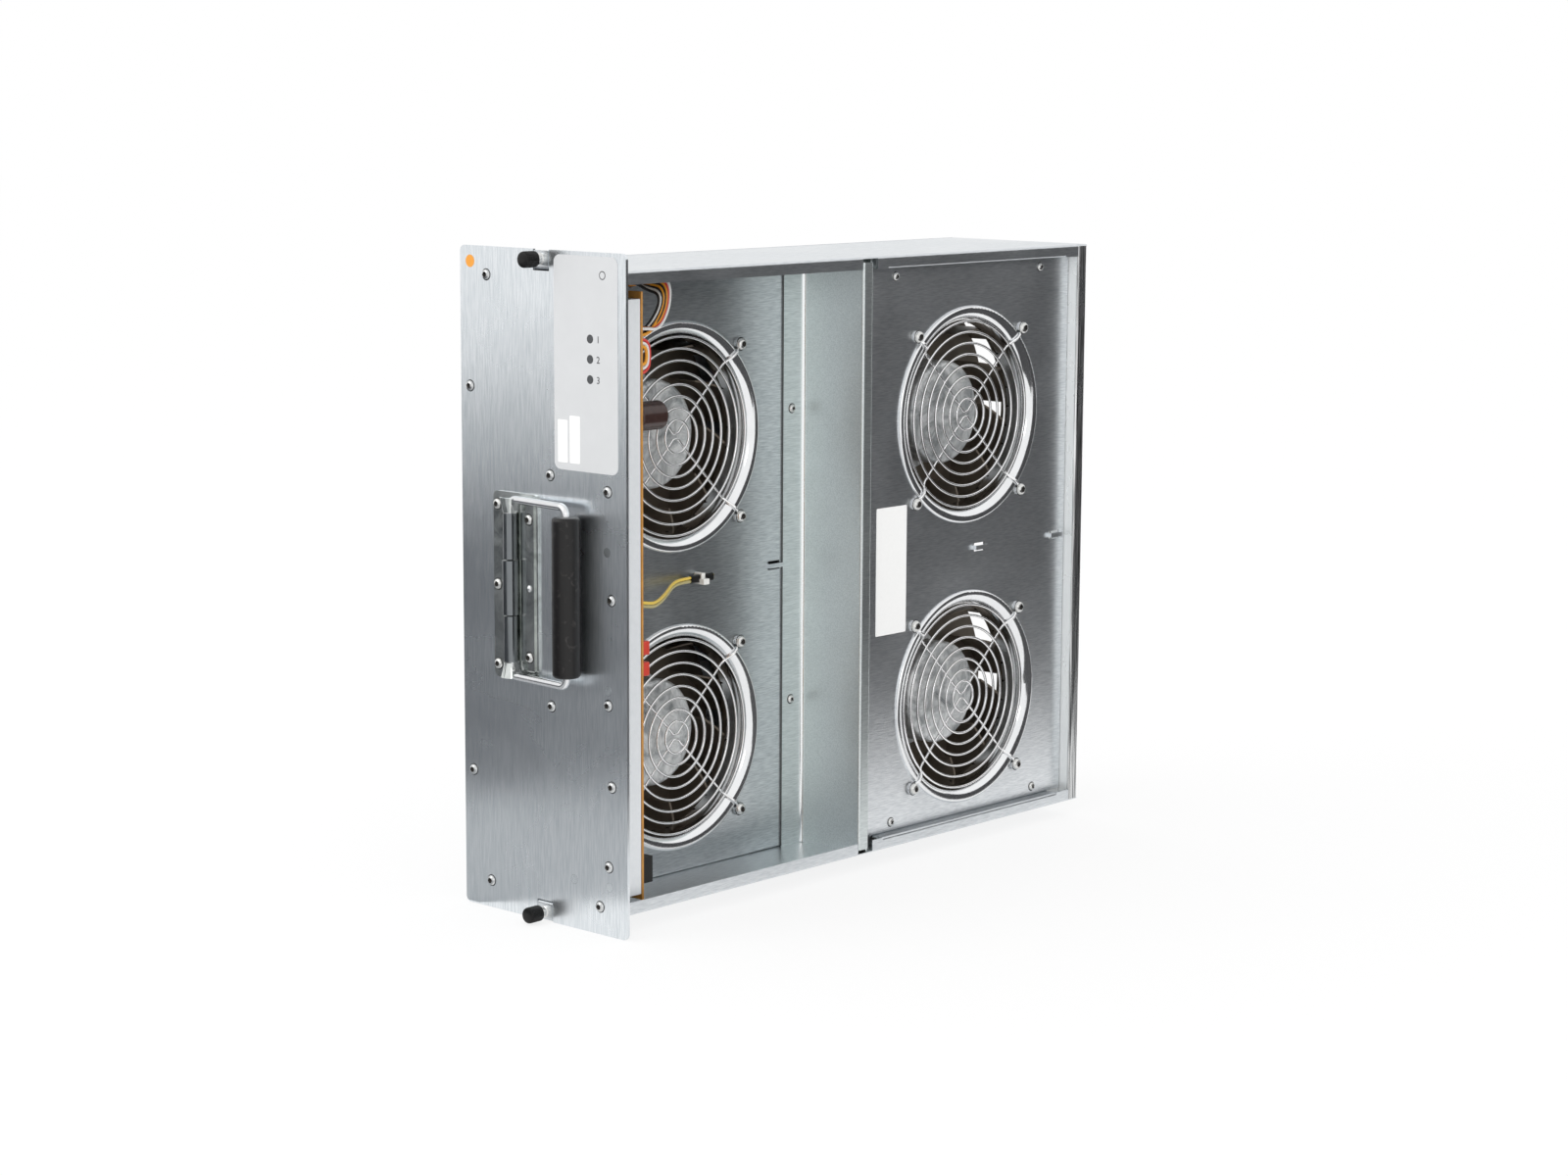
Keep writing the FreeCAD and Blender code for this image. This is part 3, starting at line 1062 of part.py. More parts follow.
def captive_washer(z):
    washer = rod_y(0, SHEET + WASHER_GAP, SHEET + WASHER_GAP + WASHER_THICKNESS, z, WASHER_RADIUS)
    return washer.cut(rod_y(0, 0, 4 * SHEET, z, CAPTIVE_NECK + SHAFT_CLEARANCE))


def export(node, shape):
    shape = Part.makeCompound(shape) if isinstance(shape, list) else shape
    shape.translated(FRAME_SHIFT).exportStep(f"parts/{node}.step")


os.makedirs("parts", exist_ok=True)
for piece in (
    faceplate, top_rail, bottom_rail, back_panel, rear_post, divider,
    front_fan_panel, rear_fan_panel, motor_stand,
    guard_screws, motor_screws, panel_screws, faceplate_screws, label_overlay, light_pipes,
    board_bracket, control_board, board_screws, capacitor, film_capacitors, board_connectors,
    fan_harness, fan_lead, lead_sleeve, cable_tie, connector_bracket, rear_connector,
    handle_doubler, handle_plate, handle_bail, handle_grip, handle_screws,
):
    export(piece.__name__, piece())

for piece in (inlet_ring, finger_guard, impeller, rotor, stator):
    shape = piece()
    for fan, place in FANS.items():
        export(f"{fan}_{piece.__name__}", on_fan(shape, place))
races = bearings()
export("motor_bearings", [on_fan(race, place) for place in FANS.values() for race in races])

captive_places = {"upper": FACE_HEIGHT - CAPTIVE_INSET, "lower": CAPTIVE_INSET}
export("captive_ferrules", [captive_ferrule(z) for z in captive_places.values()])
for side, z in captive_places.items():
    export(f"{side}_captive_knob", captive_knob(z))
    export(f"{side}_captive_screw", captive_screw(z))
    export(f"{side}_captive_washer", captive_washer(z))
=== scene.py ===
import bmesh
import bpy
import math
from mathutils import Matrix, Vector


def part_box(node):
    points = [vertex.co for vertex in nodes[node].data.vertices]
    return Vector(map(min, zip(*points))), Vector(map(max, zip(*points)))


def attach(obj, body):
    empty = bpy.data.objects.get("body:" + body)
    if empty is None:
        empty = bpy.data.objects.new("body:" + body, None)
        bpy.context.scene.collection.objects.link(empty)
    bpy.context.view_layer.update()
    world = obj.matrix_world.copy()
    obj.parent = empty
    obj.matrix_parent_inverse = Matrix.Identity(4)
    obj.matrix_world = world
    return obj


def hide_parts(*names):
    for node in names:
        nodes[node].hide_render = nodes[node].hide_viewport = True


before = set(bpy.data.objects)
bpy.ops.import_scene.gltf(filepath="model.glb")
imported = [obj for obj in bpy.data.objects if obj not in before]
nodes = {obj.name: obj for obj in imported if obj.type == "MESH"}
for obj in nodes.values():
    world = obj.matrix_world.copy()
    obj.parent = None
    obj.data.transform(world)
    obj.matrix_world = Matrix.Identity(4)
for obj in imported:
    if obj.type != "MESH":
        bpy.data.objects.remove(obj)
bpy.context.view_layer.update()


# Body sheets: zinc-plated steel, sheared, folded and screwed into an open tray.
# The mill's rolling leaves a fine grain along each sheet, and plating leaves soft clouds.
def add(tree, kind, inputs=(), **settings):
    node = tree.nodes.new(kind)
    for name, value in settings.items():
        setattr(node, name, value)
    for name, value in dict(inputs).items():
        node.inputs[name].default_value = value
    return node


def join(tree, source, output, target, socket):
    tree.links.new(source.outputs[output], target.inputs[socket])


def coat(name, **sockets):
    material = bpy.data.materials.new(name)
    material.use_nodes = True
    surface = material.node_tree.nodes["Principled BSDF"]
    for socket, value in sockets.items():
        surface.inputs[socket.replace("_", " ")].default_value = value
    return material, material.node_tree, surface


def blended(tree, low, high):
    mix = add(tree, "ShaderNodeMix", data_type="RGBA")
    mix.inputs[6].default_value = low
    mix.inputs[7].default_value = high
    return mix


def build_rolled_grain():
    group = bpy.data.node_groups.new("rolled_grain", "ShaderNodeTree")
    group.interface.new_socket("Stretch", in_out="INPUT", socket_type="NodeSocketVector")
    group.interface.new_socket("Cloud Scale", in_out="INPUT", socket_type="NodeSocketFloat")
    group.interface.new_socket("Streaks", in_out="OUTPUT", socket_type="NodeSocketFloat")
    group.interface.new_socket("Clouds", in_out="OUTPUT", socket_type="NodeSocketFloat")
    inside = add(group, "NodeGroupInput")
    outside = add(group, "NodeGroupOutput")
    place = add(group, "ShaderNodeTexCoord")
    pulled = add(group, "ShaderNodeVectorMath", operation="MULTIPLY")
    streaks = add(group, "ShaderNodeTexNoise", {"Scale": 1.0, "Detail": 1.5, "Roughness": 0.55})
    clouds = add(group, "ShaderNodeTexNoise", {"Detail": 5.0, "Roughness": 0.6, "Distortion": 0.6})
    join(group, place, "Object", pulled, 0)
    join(group, inside, "Stretch", pulled, 1)
    join(group, pulled, 0, streaks, "Vector")
    join(group, place, "Object", clouds, "Vector")
    join(group, inside, "Cloud Scale", clouds, "Scale")
    join(group, streaks, "Fac", outside, "Streaks")
    join(group, clouds, "Fac", outside, "Clouds")
    return group


rolled_grain = build_rolled_grain()


def zinc_sheet(name, stretch, dark, light, roughness, bump, anisotropic=0.0):
    material, tree, surface = coat(name, Metallic=1.0, Anisotropic=anisotropic)
    grain = add(tree, "ShaderNodeGroup", node_tree=rolled_grain)
    grain.inputs["Stretch"].default_value = stretch
    grain.inputs["Cloud Scale"].default_value = 9.0
    colour = blended(tree, dark, light)
    contrast = add(tree, "ShaderNodeMapRange", {"From Min": 0.3, "From Max": 0.7})
    join(tree, grain, "Streaks", contrast, "Value")
    join(tree, contrast, "Result", colour, "Factor")
    tree.links.new(colour.outputs[2], surface.inputs["Base Color"])
    dull = add(tree, "ShaderNodeMapRange", {"From Min": 0.3, "From Max": 0.7})
    dull.inputs["To Min"].default_value = roughness - 0.05
    dull.inputs["To Max"].default_value = roughness + 0.06
    join(tree, grain, "Clouds", dull, "Value")
    join(tree, dull, "Result", surface, "Roughness")
    relief = add(tree, "ShaderNodeBump", {"Strength": bump, "Distance": 0.0004})
    join(tree, grain, "Streaks", relief, "Height")
    join(tree, relief, "Normal", surface, "Normal")
    return material


def dress(material, *names):
    for name in names:
        nodes[name].data.materials.clear()
        nodes[name].data.materials.append(material)


def toned_by_place(material, axis, start, end, tone):
    """Give a material another tone up to a place along an axis, and its own tone past it."""
    tree = material.node_tree
    surface = tree.nodes["Principled BSDF"]
    own = surface.inputs["Base Color"].links[0].from_socket
    place = add(tree, "ShaderNodeTexCoord")
    parts = add(tree, "ShaderNodeSeparateXYZ")
    past = add(tree, "ShaderNodeMapRange", {"From Min": start, "From Max": end})
    colour = blended(tree, tone, (0.5, 0.5, 0.5, 1))
    join(tree, place, "Object", parts, "Vector")
    join(tree, parts, axis, past, "Value")
    join(tree, past, "Result", colour, "Factor")
    tree.links.new(own, colour.inputs[7])
    tree.links.new(colour.outputs[2], surface.inputs["Base Color"])
    return past


ALONG_Y = (1500, 130, 1500)
UPRIGHT = (1500, 1500, 80)
rail_zinc = zinc_sheet("rail_zinc", ALONG_Y, (0.60, 0.63, 0.655, 1), (0.76, 0.79, 0.81, 1), 0.32, 0.15)
bay_zinc = zinc_sheet("bay_zinc", ALONG_Y, (0.52, 0.555, 0.575, 1), (0.74, 0.775, 0.79, 1), 0.33, 0.2)
panel_zinc = zinc_sheet("panel_zinc", ALONG_Y, (0.69, 0.72, 0.745, 1), (0.90, 0.925, 0.945, 1), 0.33, 0.2)
wall_zinc = zinc_sheet("wall_zinc", ALONG_Y, (0.61, 0.66, 0.66, 1), (0.78, 0.83, 0.83, 1), 0.38, 0.12)
post_zinc = zinc_sheet("post_zinc", (900, 900, 24), (0.10, 0.105, 0.11, 1), (0.95, 0.96, 0.96, 1), 0.26, 0.5)
dress(rail_zinc, "top_rail", "bottom_rail", "back_panel")
dress(rail_zinc, "motor_stand", "connector_bracket", "handle_doubler")
dress(bay_zinc, "front_fan_panel")
dress(panel_zinc, "rear_fan_panel")
dress(wall_zinc, "divider")
dress(post_zinc, "rear_post")

# The post's outer face is streaked from nearly black to nearly white; its inner faces get a pale, less
# metallic tone, painted light for their lit side.
OUTER_FACE_DEPTH = 0.0012
OUTER_FACE_BLEND = 0.001
rim_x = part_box("rear_post")[1].x
outer_face_from = rim_x - OUTER_FACE_DEPTH
# Inner faces take the pale tone as painted light, and the outer face keeps its streaks.
post_outer_mask = toned_by_place(post_zinc, "X", outer_face_from - OUTER_FACE_BLEND, outer_face_from, (0.90, 0.92, 0.92, 1))
post_tree = post_zinc.node_tree
post_metal = add(post_tree, "ShaderNodeMapRange", {"To Min": 0.3, "To Max": 1.0})
join(post_tree, post_outer_mask, "Result", post_metal, "Value")
join(post_tree, post_metal, "Result", post_tree.nodes["Principled BSDF"], "Metallic")


# Motors: external-rotor motors with cast aluminium cups, bolted to the back sheet or to the stand.
# The cups are bare castings with a cloudy, mottled skin.
def cast_metal(name, dark, light, scale, roughness, relief_strength=0.25, metallic=1.0, spread=0.0):
    material, tree, surface = coat(name, Metallic=metallic)
    place = add(tree, "ShaderNodeTexCoord")
    grain = {"Scale": scale, "Detail": 6.0, "Roughness": 0.65, "Distortion": 1.2}
    skin = add(tree, "ShaderNodeTexNoise", grain)
    colour = blended(tree, dark, light)
    dull = add(tree, "ShaderNodeMapRange", {"From Min": 0.3, "From Max": 0.7})
    dull.inputs["To Min"].default_value = roughness - 0.08
    dull.inputs["To Max"].default_value = roughness + 0.1
    relief = add(tree, "ShaderNodeBump", {"Strength": relief_strength, "Distance": 0.0006})
    join(tree, place, "Object", skin, "Vector")
    patches = add(tree, "ShaderNodeMapRange", {"From Min": spread, "From Max": 1.0 - spread})
    join(tree, skin, "Fac", patches, "Value")
    join(tree, patches, "Result", colour, "Factor")
    join(tree, skin, "Fac", dull, "Value")
    join(tree, skin, "Fac", relief, "Height")
    tree.links.new(colour.outputs[2], surface.inputs["Base Color"])
    join(tree, dull, "Result", surface, "Roughness")
    join(tree, relief, "Normal", surface, "Normal")
    return material


FANS = ["front_upper", "front_lower", "rear_upper", "rear_lower"]
CUP_TONES = [(0.34, 0.36, 0.37, 1), (0.97, 0.98, 0.98, 1)]
cup_metal = cast_metal("cup_metal", *CUP_TONES, 60.0, 0.34, metallic=0.55, spread=0.36)
base_metal = cast_metal("base_metal", (0.30, 0.30, 0.31, 1), (0.45, 0.45, 0.46, 1), 120.0, 0.5)
for fan in FANS:
    dress(cup_metal, f"{fan}_rotor")
    dress(base_metal, f"{fan}_stator")
dress(base_metal, "motor_bearings")


# Fan wheels: backward-curved sheet-steel wheels, each fixed to its rotor; their dark brown colour is painted
# shade of the wheels' shaded inside.
# Curved blades join a flat back plate to a flared shroud with a collar.
def hazed(name, low, high, scale, detail, **sockets):
    """Coat whose colour drifts between two tones with a soft noise."""
    material, tree, surface = coat(name, **sockets)
    place = add(tree, "ShaderNodeTexCoord")
    haze = add(tree, "ShaderNodeTexNoise", {"Scale": scale, "Detail": detail})
    colour = blended(tree, low, high)
    join(tree, place, "Object", haze, "Vector")
    join(tree, haze, "Fac", colour, "Factor")
    tree.links.new(colour.outputs[2], surface.inputs["Base Color"])
    return material


# Dark brown tones of painted shade for the sheet-steel wheels.
WHEEL_SHADE_TONES = [(0.095, 0.080, 0.064, 1), (0.23, 0.192, 0.152, 1)]
wheel_shade_paint = hazed("wheel_shade_paint", *WHEEL_SHADE_TONES, 60.0, 4.0, Metallic=0.5, Roughness=0.4)
for fan in FANS:
    dress(wheel_shade_paint, f"{fan}_impeller")


# Inlet rings: spun bell mouths with bright, slightly cloudy plating.
# Each sits on its fan panel and reaches into the collar of the wheel.
RING_TONES = [(0.78, 0.79, 0.80, 1), (0.92, 0.93, 0.94, 1)]
ring_chrome = hazed("ring_chrome", *RING_TONES, 45.0, 3.0, Metallic=1.0, Roughness=0.12)
for fan in FANS:
    dress(ring_chrome, f"{fan}_inlet_ring")


# Finger guards: rings of bright round wire, welded in front of two bent spokes.
# Each spoke ends in eyelets that the guard screws hold on the panel.
def curve_piece(name, points, radius, sides=4):
    line = bpy.data.curves.new(name, "CURVE")
    line.dimensions = "3D"
    spline = line.splines.new("NURBS")
    spline.points.add(len(points) - 1)
    for spot, point in zip(spline.points, points):
        spot.co = (*point, 1)
    spline.order_u = 3
    spline.use_endpoint_u = True
    spline.resolution_u = 8
    line.bevel_depth = radius
    line.bevel_resolution = sides
    line.use_fill_caps = True
    piece = bpy.data.objects.new(name, line)
    bpy.context.scene.collection.objects.link(piece)
    return piece


def as_mesh(piece, name):
    ready = piece.evaluated_get(bpy.context.evaluated_depsgraph_get())
    mesh = bpy.data.meshes.new_from_object(ready)
    mesh.name = name
    bpy.data.objects.remove(piece)
    for face in mesh.polygons:
        face.use_smooth = True
    made = bpy.data.objects.new(name, mesh)
    bpy.context.scene.collection.objects.link(made)
    return made


def flow(tree, *steps):
    for before, after in zip(steps, steps[1:]):
        tree.links.new(before.outputs[0], after.inputs[0])


def geometry_tree(name, **inputs):
    """New Geometry Nodes group with these kinds of input, and its input and output nodes."""
    tree = bpy.data.node_groups.new(name, "GeometryNodeTree")
    face = tree.interface
    face.new_socket("Geometry", in_out="INPUT", socket_type="NodeSocketGeometry")
    for socket, kind in inputs.items():
        face.new_socket(socket.replace("_", " "), in_out="INPUT", socket_type=f"NodeSocket{kind}")
    face.new_socket("Geometry", in_out="OUTPUT", socket_type="NodeSocketGeometry")
    return tree, add(tree, "NodeGroupInput"), add(tree, "NodeGroupOutput")


GUARD_WIRE = 0.0009
GUARD_BOLT = 0.1634 / 2 / math.sqrt(2)
GUARD_LOOP = 0.0031
LOOP_STEPS = 12
LOOP_GAP = 20
GUARD_RINGS = 8
FIRST_RING = 0.011
RING_STEP = 0.0078
RING_PLANE = -0.0016
SPOKE_PLANE = -0.0030
LEG_RISE = [(0.0772, 0.0011), (0.0754, 0.0031), (0.0712, 0.0032), (0.0645, -0.0029), (0.058, SPOKE_PLANE)]
LEG_REACHES = (0.040, 0.014, 0.006)
HUB_X, HUB_Y = 0.0022, 0.0018
leg = Vector((1, 1, 0)).normalized()
across = Vector((1, -1, 0)).normalized()
bolt = Vector((GUARD_BOLT, GUARD_BOLT, GUARD_WIRE))
loop = []
for step in range(LOOP_STEPS + 1):
    turn = math.radians(LOOP_GAP + (360 - 2 * LOOP_GAP) * step / LOOP_STEPS)
    loop.append(bolt + GUARD_LOOP * (-math.cos(turn) * leg + math.sin(turn) * across))
spoke_run = [leg * reach + Vector((0, 0, height)) for reach, height in LEG_RISE]
spoke_run += [leg * reach + Vector((0, 0, SPOKE_PLANE)) for reach in LEG_REACHES]
half_spoke = loop[::-1][:-1] + spoke_run
hub = [Vector((side * HUB_X, HUB_Y, SPOKE_PLANE)) for side in (1, -1)]
mirrored = [Vector((-p.x, p.y, p.z)) for p in half_spoke[::-1]]
spoke = as_mesh(curve_piece("guard_spoke", half_spoke + hub + mirrored, GUARD_WIRE), "guard_spoke")

GUARD_TONES = [(0.88, 0.88, 0.89, 1), (0.98, 0.98, 0.98, 1)]
guard_chrome = hazed("guard_chrome", *GUARD_TONES, 400.0, 2.0, Metallic=1.0, Roughness=0.14)


def build_guard_tree():
    tree, given, result = geometry_tree(
        "finger_guard", Rings="Int", First_Radius="Float", Ring_Step="Float", Wire_Radius="Float",
        Ring_Height="Float", Spoke="Object", Place="Vector", Plating="Material")
    dots = add(tree, "GeometryNodePoints")
    count = add(tree, "GeometryNodeInputIndex")
    radius = add(tree, "ShaderNodeMath", operation="MULTIPLY_ADD")
    size = add(tree, "ShaderNodeCombineXYZ", {"Z": 1.0})
    circle = add(tree, "GeometryNodeCurvePrimitiveCircle", {"Resolution": 96, "Radius": 1.0})
    section = add(tree, "GeometryNodeCurvePrimitiveCircle", {"Resolution": 10})
    rings = add(tree, "GeometryNodeInstanceOnPoints")
    loose = add(tree, "GeometryNodeRealizeInstances")
    wires = add(tree, "GeometryNodeCurveToMesh")
    smooth = add(tree, "GeometryNodeSetShadeSmooth")
    lift = add(tree, "ShaderNodeCombineXYZ")
    lifted = add(tree, "GeometryNodeTransform")
    spoke_shape = add(tree, "GeometryNodeObjectInfo")
    turned = add(tree, "GeometryNodeTransform", {"Rotation": (0, 0, math.pi)})
    whole = add(tree, "GeometryNodeJoinGeometry")
    moved = add(tree, "GeometryNodeTransform", {"Rotation": (math.pi / 2, 0, math.pi / 2)})
    real = add(tree, "GeometryNodeRealizeInstances")
    plated = add(tree, "GeometryNodeSetMaterial")
    join(tree, given, "Rings", dots, "Count")
    join(tree, count, "Index", radius, 0)
    join(tree, given, "Ring Step", radius, 1)
    join(tree, given, "First Radius", radius, 2)
    join(tree, radius, 0, size, "X")
    join(tree, radius, 0, size, "Y")
    join(tree, dots, 0, rings, "Points")
    join(tree, circle, "Curve", rings, "Instance")
    join(tree, size, 0, rings, "Scale")
    flow(tree, rings, loose, wires, smooth, lifted, whole)
    join(tree, given, "Wire Radius", section, "Radius")
    join(tree, section, "Curve", wires, "Profile Curve")
    join(tree, given, "Ring Height", lift, "Z")
    join(tree, lift, 0, lifted, "Translation")
    join(tree, given, "Spoke", spoke_shape, "Object")
    join(tree, spoke_shape, "Geometry", turned, 0)
    join(tree, spoke_shape, "Geometry", whole, 0)
    join(tree, turned, 0, whole, 0)
    join(tree, given, "Place", moved, "Translation")
    flow(tree, whole, moved, real, plated, result)
    join(tree, given, "Plating", plated, "Material")
    return tree


def grown(name, tree, values, points=()):
    """Mesh piece that a Geometry Nodes group grows on the given points."""
    mesh = bpy.data.meshes.new(f"{name}_seats")
    mesh.from_pydata([tuple(p) for p in points], [], [])
    host = bpy.data.objects.new(f"{name}_host", mesh)
    bpy.context.scene.collection.objects.link(host)
    modifier = host.modifiers.new("grow", "NODES")
    modifier.node_group = tree
    sockets = {item.name: item.identifier for item in tree.interface.items_tree if item.in_out == "INPUT"}
    for socket, value in values.items():
        modifier[sockets[socket]] = value
    return as_mesh(host, name)


guard_form = build_guard_tree()
LIP_HEIGHT = 0.0020
fan_places = {}
for fan in FANS:
    ring_low, ring_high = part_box(f"{fan}_inlet_ring")
    middle = (ring_low + ring_high) / 2
    fan_places[fan] = Vector((ring_high.x - LIP_HEIGHT, middle.y, middle.z))
    sizes = {"Rings": GUARD_RINGS, "First Radius": FIRST_RING, "Ring Step": RING_STEP}
    sizes |= {"Wire Radius": GUARD_WIRE, "Ring Height": RING_PLANE, "Spoke": spoke}
    sizes |= {"Place": fan_places[fan], "Plating": guard_chrome}
    guard = grown(f"{fan}_guard_wires", guard_form, sizes)
    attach(guard, "tray")
    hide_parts(f"{fan}_finger_guard")
bpy.data.objects.remove(spoke)


# Throat marks: small dark wedges in the throat of each inlet ring, coloured as painted shade of shaded slots.
# They stand in the bright throat at even steps, all the way round.
def build_nick_tree():
    tree, given, result = geometry_tree(
        "throat_slot_shades", Nicks="Int", Throat_Radius="Float", Nick="Object", Place="Vector", Colour="Material")
    spots = add(tree, "GeometryNodePoints")
    count = add(tree, "GeometryNodeInputIndex")
    part = add(tree, "ShaderNodeMath", operation="DIVIDE")
    turn = add(tree, "ShaderNodeMath", {1: 2 * math.pi}, operation="MULTIPLY")
    about = add(tree, "ShaderNodeCombineXYZ")
    shape = add(tree, "GeometryNodeObjectInfo")
    out = add(tree, "ShaderNodeCombineXYZ")
    pushed = add(tree, "GeometryNodeTransform")
    set_out = add(tree, "GeometryNodeInstanceOnPoints")
    moved = add(tree, "GeometryNodeTransform", {"Rotation": (math.pi / 2, 0, math.pi / 2)})
    real = add(tree, "GeometryNodeRealizeInstances")
    coloured = add(tree, "GeometryNodeSetMaterial")
    join(tree, given, "Nicks", spots, "Count")
    join(tree, count, "Index", part, 0)
    join(tree, given, "Nicks", part, 1)
    join(tree, part, 0, turn, 0)
    join(tree, turn, 0, about, "Z")
    join(tree, given, "Nick", shape, "Object")
    join(tree, given, "Throat Radius", out, "X")
    join(tree, shape, "Geometry", pushed, 0)
    join(tree, out, 0, pushed, "Translation")
    join(tree, spots, 0, set_out, "Points")
    join(tree, pushed, 0, set_out, "Instance")
    join(tree, about, 0, set_out, "Rotation")
    join(tree, given, "Place", moved, "Translation")
    flow(tree, set_out, moved, real, coloured, result)
    join(tree, given, "Colour", coloured, "Material")
    return tree


THROAT = 0.0655
NICKS = 30
wedge = bpy.data.meshes.new("nick")
corners = [(0.0002, -0.0008, 0), (0.0002, 0.0008, 0), (0.0002, 0, 0.0024)]
corners += [(-0.0003, -0.0008, 0), (-0.0003, 0.0008, 0), (-0.0001, 0, 0.0024)]
wedge.from_pydata(corners, [], [(0, 1, 2), (5, 4, 3), (0, 3, 4, 1), (1, 4, 5, 2), (2, 5, 3, 0)])
nick = bpy.data.objects.new("nick", wedge)
bpy.context.scene.collection.objects.link(nick)
# Near-black tones of painted shade for the throat marks.
slot_shade_paint = cast_metal("slot_shade_paint", (0.012, 0.011, 0.010, 1), (0.035, 0.032, 0.028, 1), 900.0, 0.5)
nick_form = build_nick_tree()
for fan in FANS:
    deep = Vector((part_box(f"{fan}_inlet_ring")[0].x, fan_places[fan].y, fan_places[fan].z))
    sizes = {"Nicks": NICKS, "Throat Radius": THROAT, "Nick": nick, "Place": deep, "Colour": slot_shade_paint}
    slot_shade_pieces = grown(f"{fan}_throat_nicks", nick_form, sizes)
    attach(slot_shade_pieces, "tray")
bpy.data.objects.remove(nick)


# Machine screws: zinc-plated socket button heads on the guards, motors, handle and faceplate.
# Pan heads with a cross recess hold the rear panel, the divider's foot and the board.
# Painted shade darkens the drive recesses and the heads' undersides, and a thin dark ring round each head is
# a painted shadow.
def socket_outline(flat_radius, sides=6, count=24):
    outline = []
    wedge = math.pi / sides
    for i in range(count):
        angle = 2 * math.pi * i / count
        away = (angle % (2 * wedge)) - wedge
        outline.append((flat_radius / math.cos(away), angle))
    return outline


def cross_outline(reach, slot, count=24):
    outline = []
    for i in range(count):
        angle = 2 * math.pi * i / count
        lobe = abs(math.cos(2 * angle)) ** 3
        outline.append((slot + (reach - slot) * lobe, angle))
    return outline


def piece_of(shape, name, sharp=None):
    """Object of a bmesh, flat, or smooth but for edges sharper than an angle in degrees."""
    bmesh.ops.recalc_face_normals(shape, faces=shape.faces[:])
    mesh = bpy.data.meshes.new(name)
    shape.to_mesh(mesh)
    shape.free()
    if sharp is not None:
        for face in mesh.polygons:
            face.use_smooth = True
        mesh.set_sharp_from_angle(angle=math.radians(sharp))
    piece = bpy.data.objects.new(name, mesh)
    bpy.context.scene.collection.objects.link(piece)
    return piece


# Width and rise of the thin dark ring round each head, a painted shadow.
SHADOW_RING_WIDTH = 0.0005
SHADOW_RING_RISE = 0.00006


def screw_shape(name, head_radius, head_height, shank_radius, shank_length, recess, depth):
    shape = bmesh.new()
    mark = shape.verts.layers.float.new("recess")
    count = len(recess)
    angles = [angle for radius, angle in recess]
    # Rows marked 1.0 get painted shade: the drive recess here, then the head's underside and the dark ring
    # below it.
    rows = [[(radius * 0.92, angle, head_height - depth, 1.0) for radius, angle in recess]]
    rows.append([(radius, angle, head_height, 1.0) for radius, angle in recess])
    for share in (0.52, 0.7, 0.86, 0.96, 1.0):
        drop = head_height * (1 - math.sqrt(max(0.0, 1 - share ** 4 * 0.97)))
        rows.append([(head_radius * share, angle, head_height - drop, 0.0) for angle in angles])
    shadow_ring_radius = head_radius + SHADOW_RING_WIDTH
    below = [(head_radius, SHADOW_RING_RISE, 1.0), (shadow_ring_radius, SHADOW_RING_RISE, 1.0), (shadow_ring_radius, 0.0, 1.0)]
    below += [(shank_radius, 0.0, 0.0), (shank_radius, -shank_length, 0.0)]
    rows += [[(radius, angle, height, painted_shade) for angle in angles] for radius, height, painted_shade in below]
    loops = []
    for row in rows:
        ring = []
        for radius, angle, height, painted_shade in row:
            vert = shape.verts.new((radius * math.cos(angle), radius * math.sin(angle), height))
            vert[mark] = painted_shade
            ring.append(vert)
        loops.append(ring)
    for inner, outer in zip(loops, loops[1:]):
        for i in range(count):
            shape.faces.new((inner[i], outer[i], outer[(i + 1) % count], inner[(i + 1) % count]))
    shape.faces.new(loops[0])
    shape.faces.new(loops[-1][::-1])
    return piece_of(shape, name)


def screw_plating(name, dark, light):
    material = hazed(name, dark, light, 500.0, 2.0, Metallic=1.0, Roughness=0.24)
    tree = material.node_tree
    surface = tree.nodes["Principled BSDF"]
    unshaded_plating = surface.inputs["Base Color"].links[0].from_socket
    # The recess attribute marks the painted shade: drive recess, head underside and the dark ring round the
    # head.
    painted_shade = add(tree, "ShaderNodeAttribute", attribute_name="recess")
    shaded_plating = blended(tree, (0.5, 0.5, 0.5, 1), (0.03, 0.028, 0.026, 1))
    tree.links.new(unshaded_plating, shaded_plating.inputs[6])
    join(tree, painted_shade, "Fac", shaded_plating, "Factor")
    tree.links.new(shaded_plating.outputs[2], surface.inputs["Base Color"])
    return material


screw_zinc = screw_plating("screw_zinc", (0.62, 0.62, 0.60, 1), (0.84, 0.84, 0.83, 1))
dull_zinc = screw_plating("dull_zinc", (0.50, 0.51, 0.51, 1), (0.74, 0.75, 0.75, 1))


def build_screw_tree():
    tree, given, result = geometry_tree(
        "screw_set", Screw="Object", Facing="Vector", Seed="Int", Plating="Material")
    shape = add(tree, "GeometryNodeObjectInfo")
    set_down = add(tree, "GeometryNodeInstanceOnPoints")
    spin = add(tree, "FunctionNodeRandomValue", data_type="FLOAT")
    spin.inputs[3].default_value = 2 * math.pi
    about = add(tree, "ShaderNodeCombineXYZ")
    driven = add(tree, "GeometryNodeRotateInstances")
    real = add(tree, "GeometryNodeRealizeInstances")
    plated = add(tree, "GeometryNodeSetMaterial")
    join(tree, given, "Geometry", set_down, "Points")
    join(tree, given, "Screw", shape, "Object")
    join(tree, shape, "Geometry", set_down, "Instance")
    join(tree, given, "Facing", set_down, "Rotation")
    join(tree, given, "Seed", spin, "Seed")
    tree.links.new(spin.outputs[1], about.inputs["Z"])
    join(tree, about, 0, driven, "Rotation")
    flow(tree, set_down, driven, real, plated, result)
    join(tree, given, "Plating", plated, "Material")
    return tree


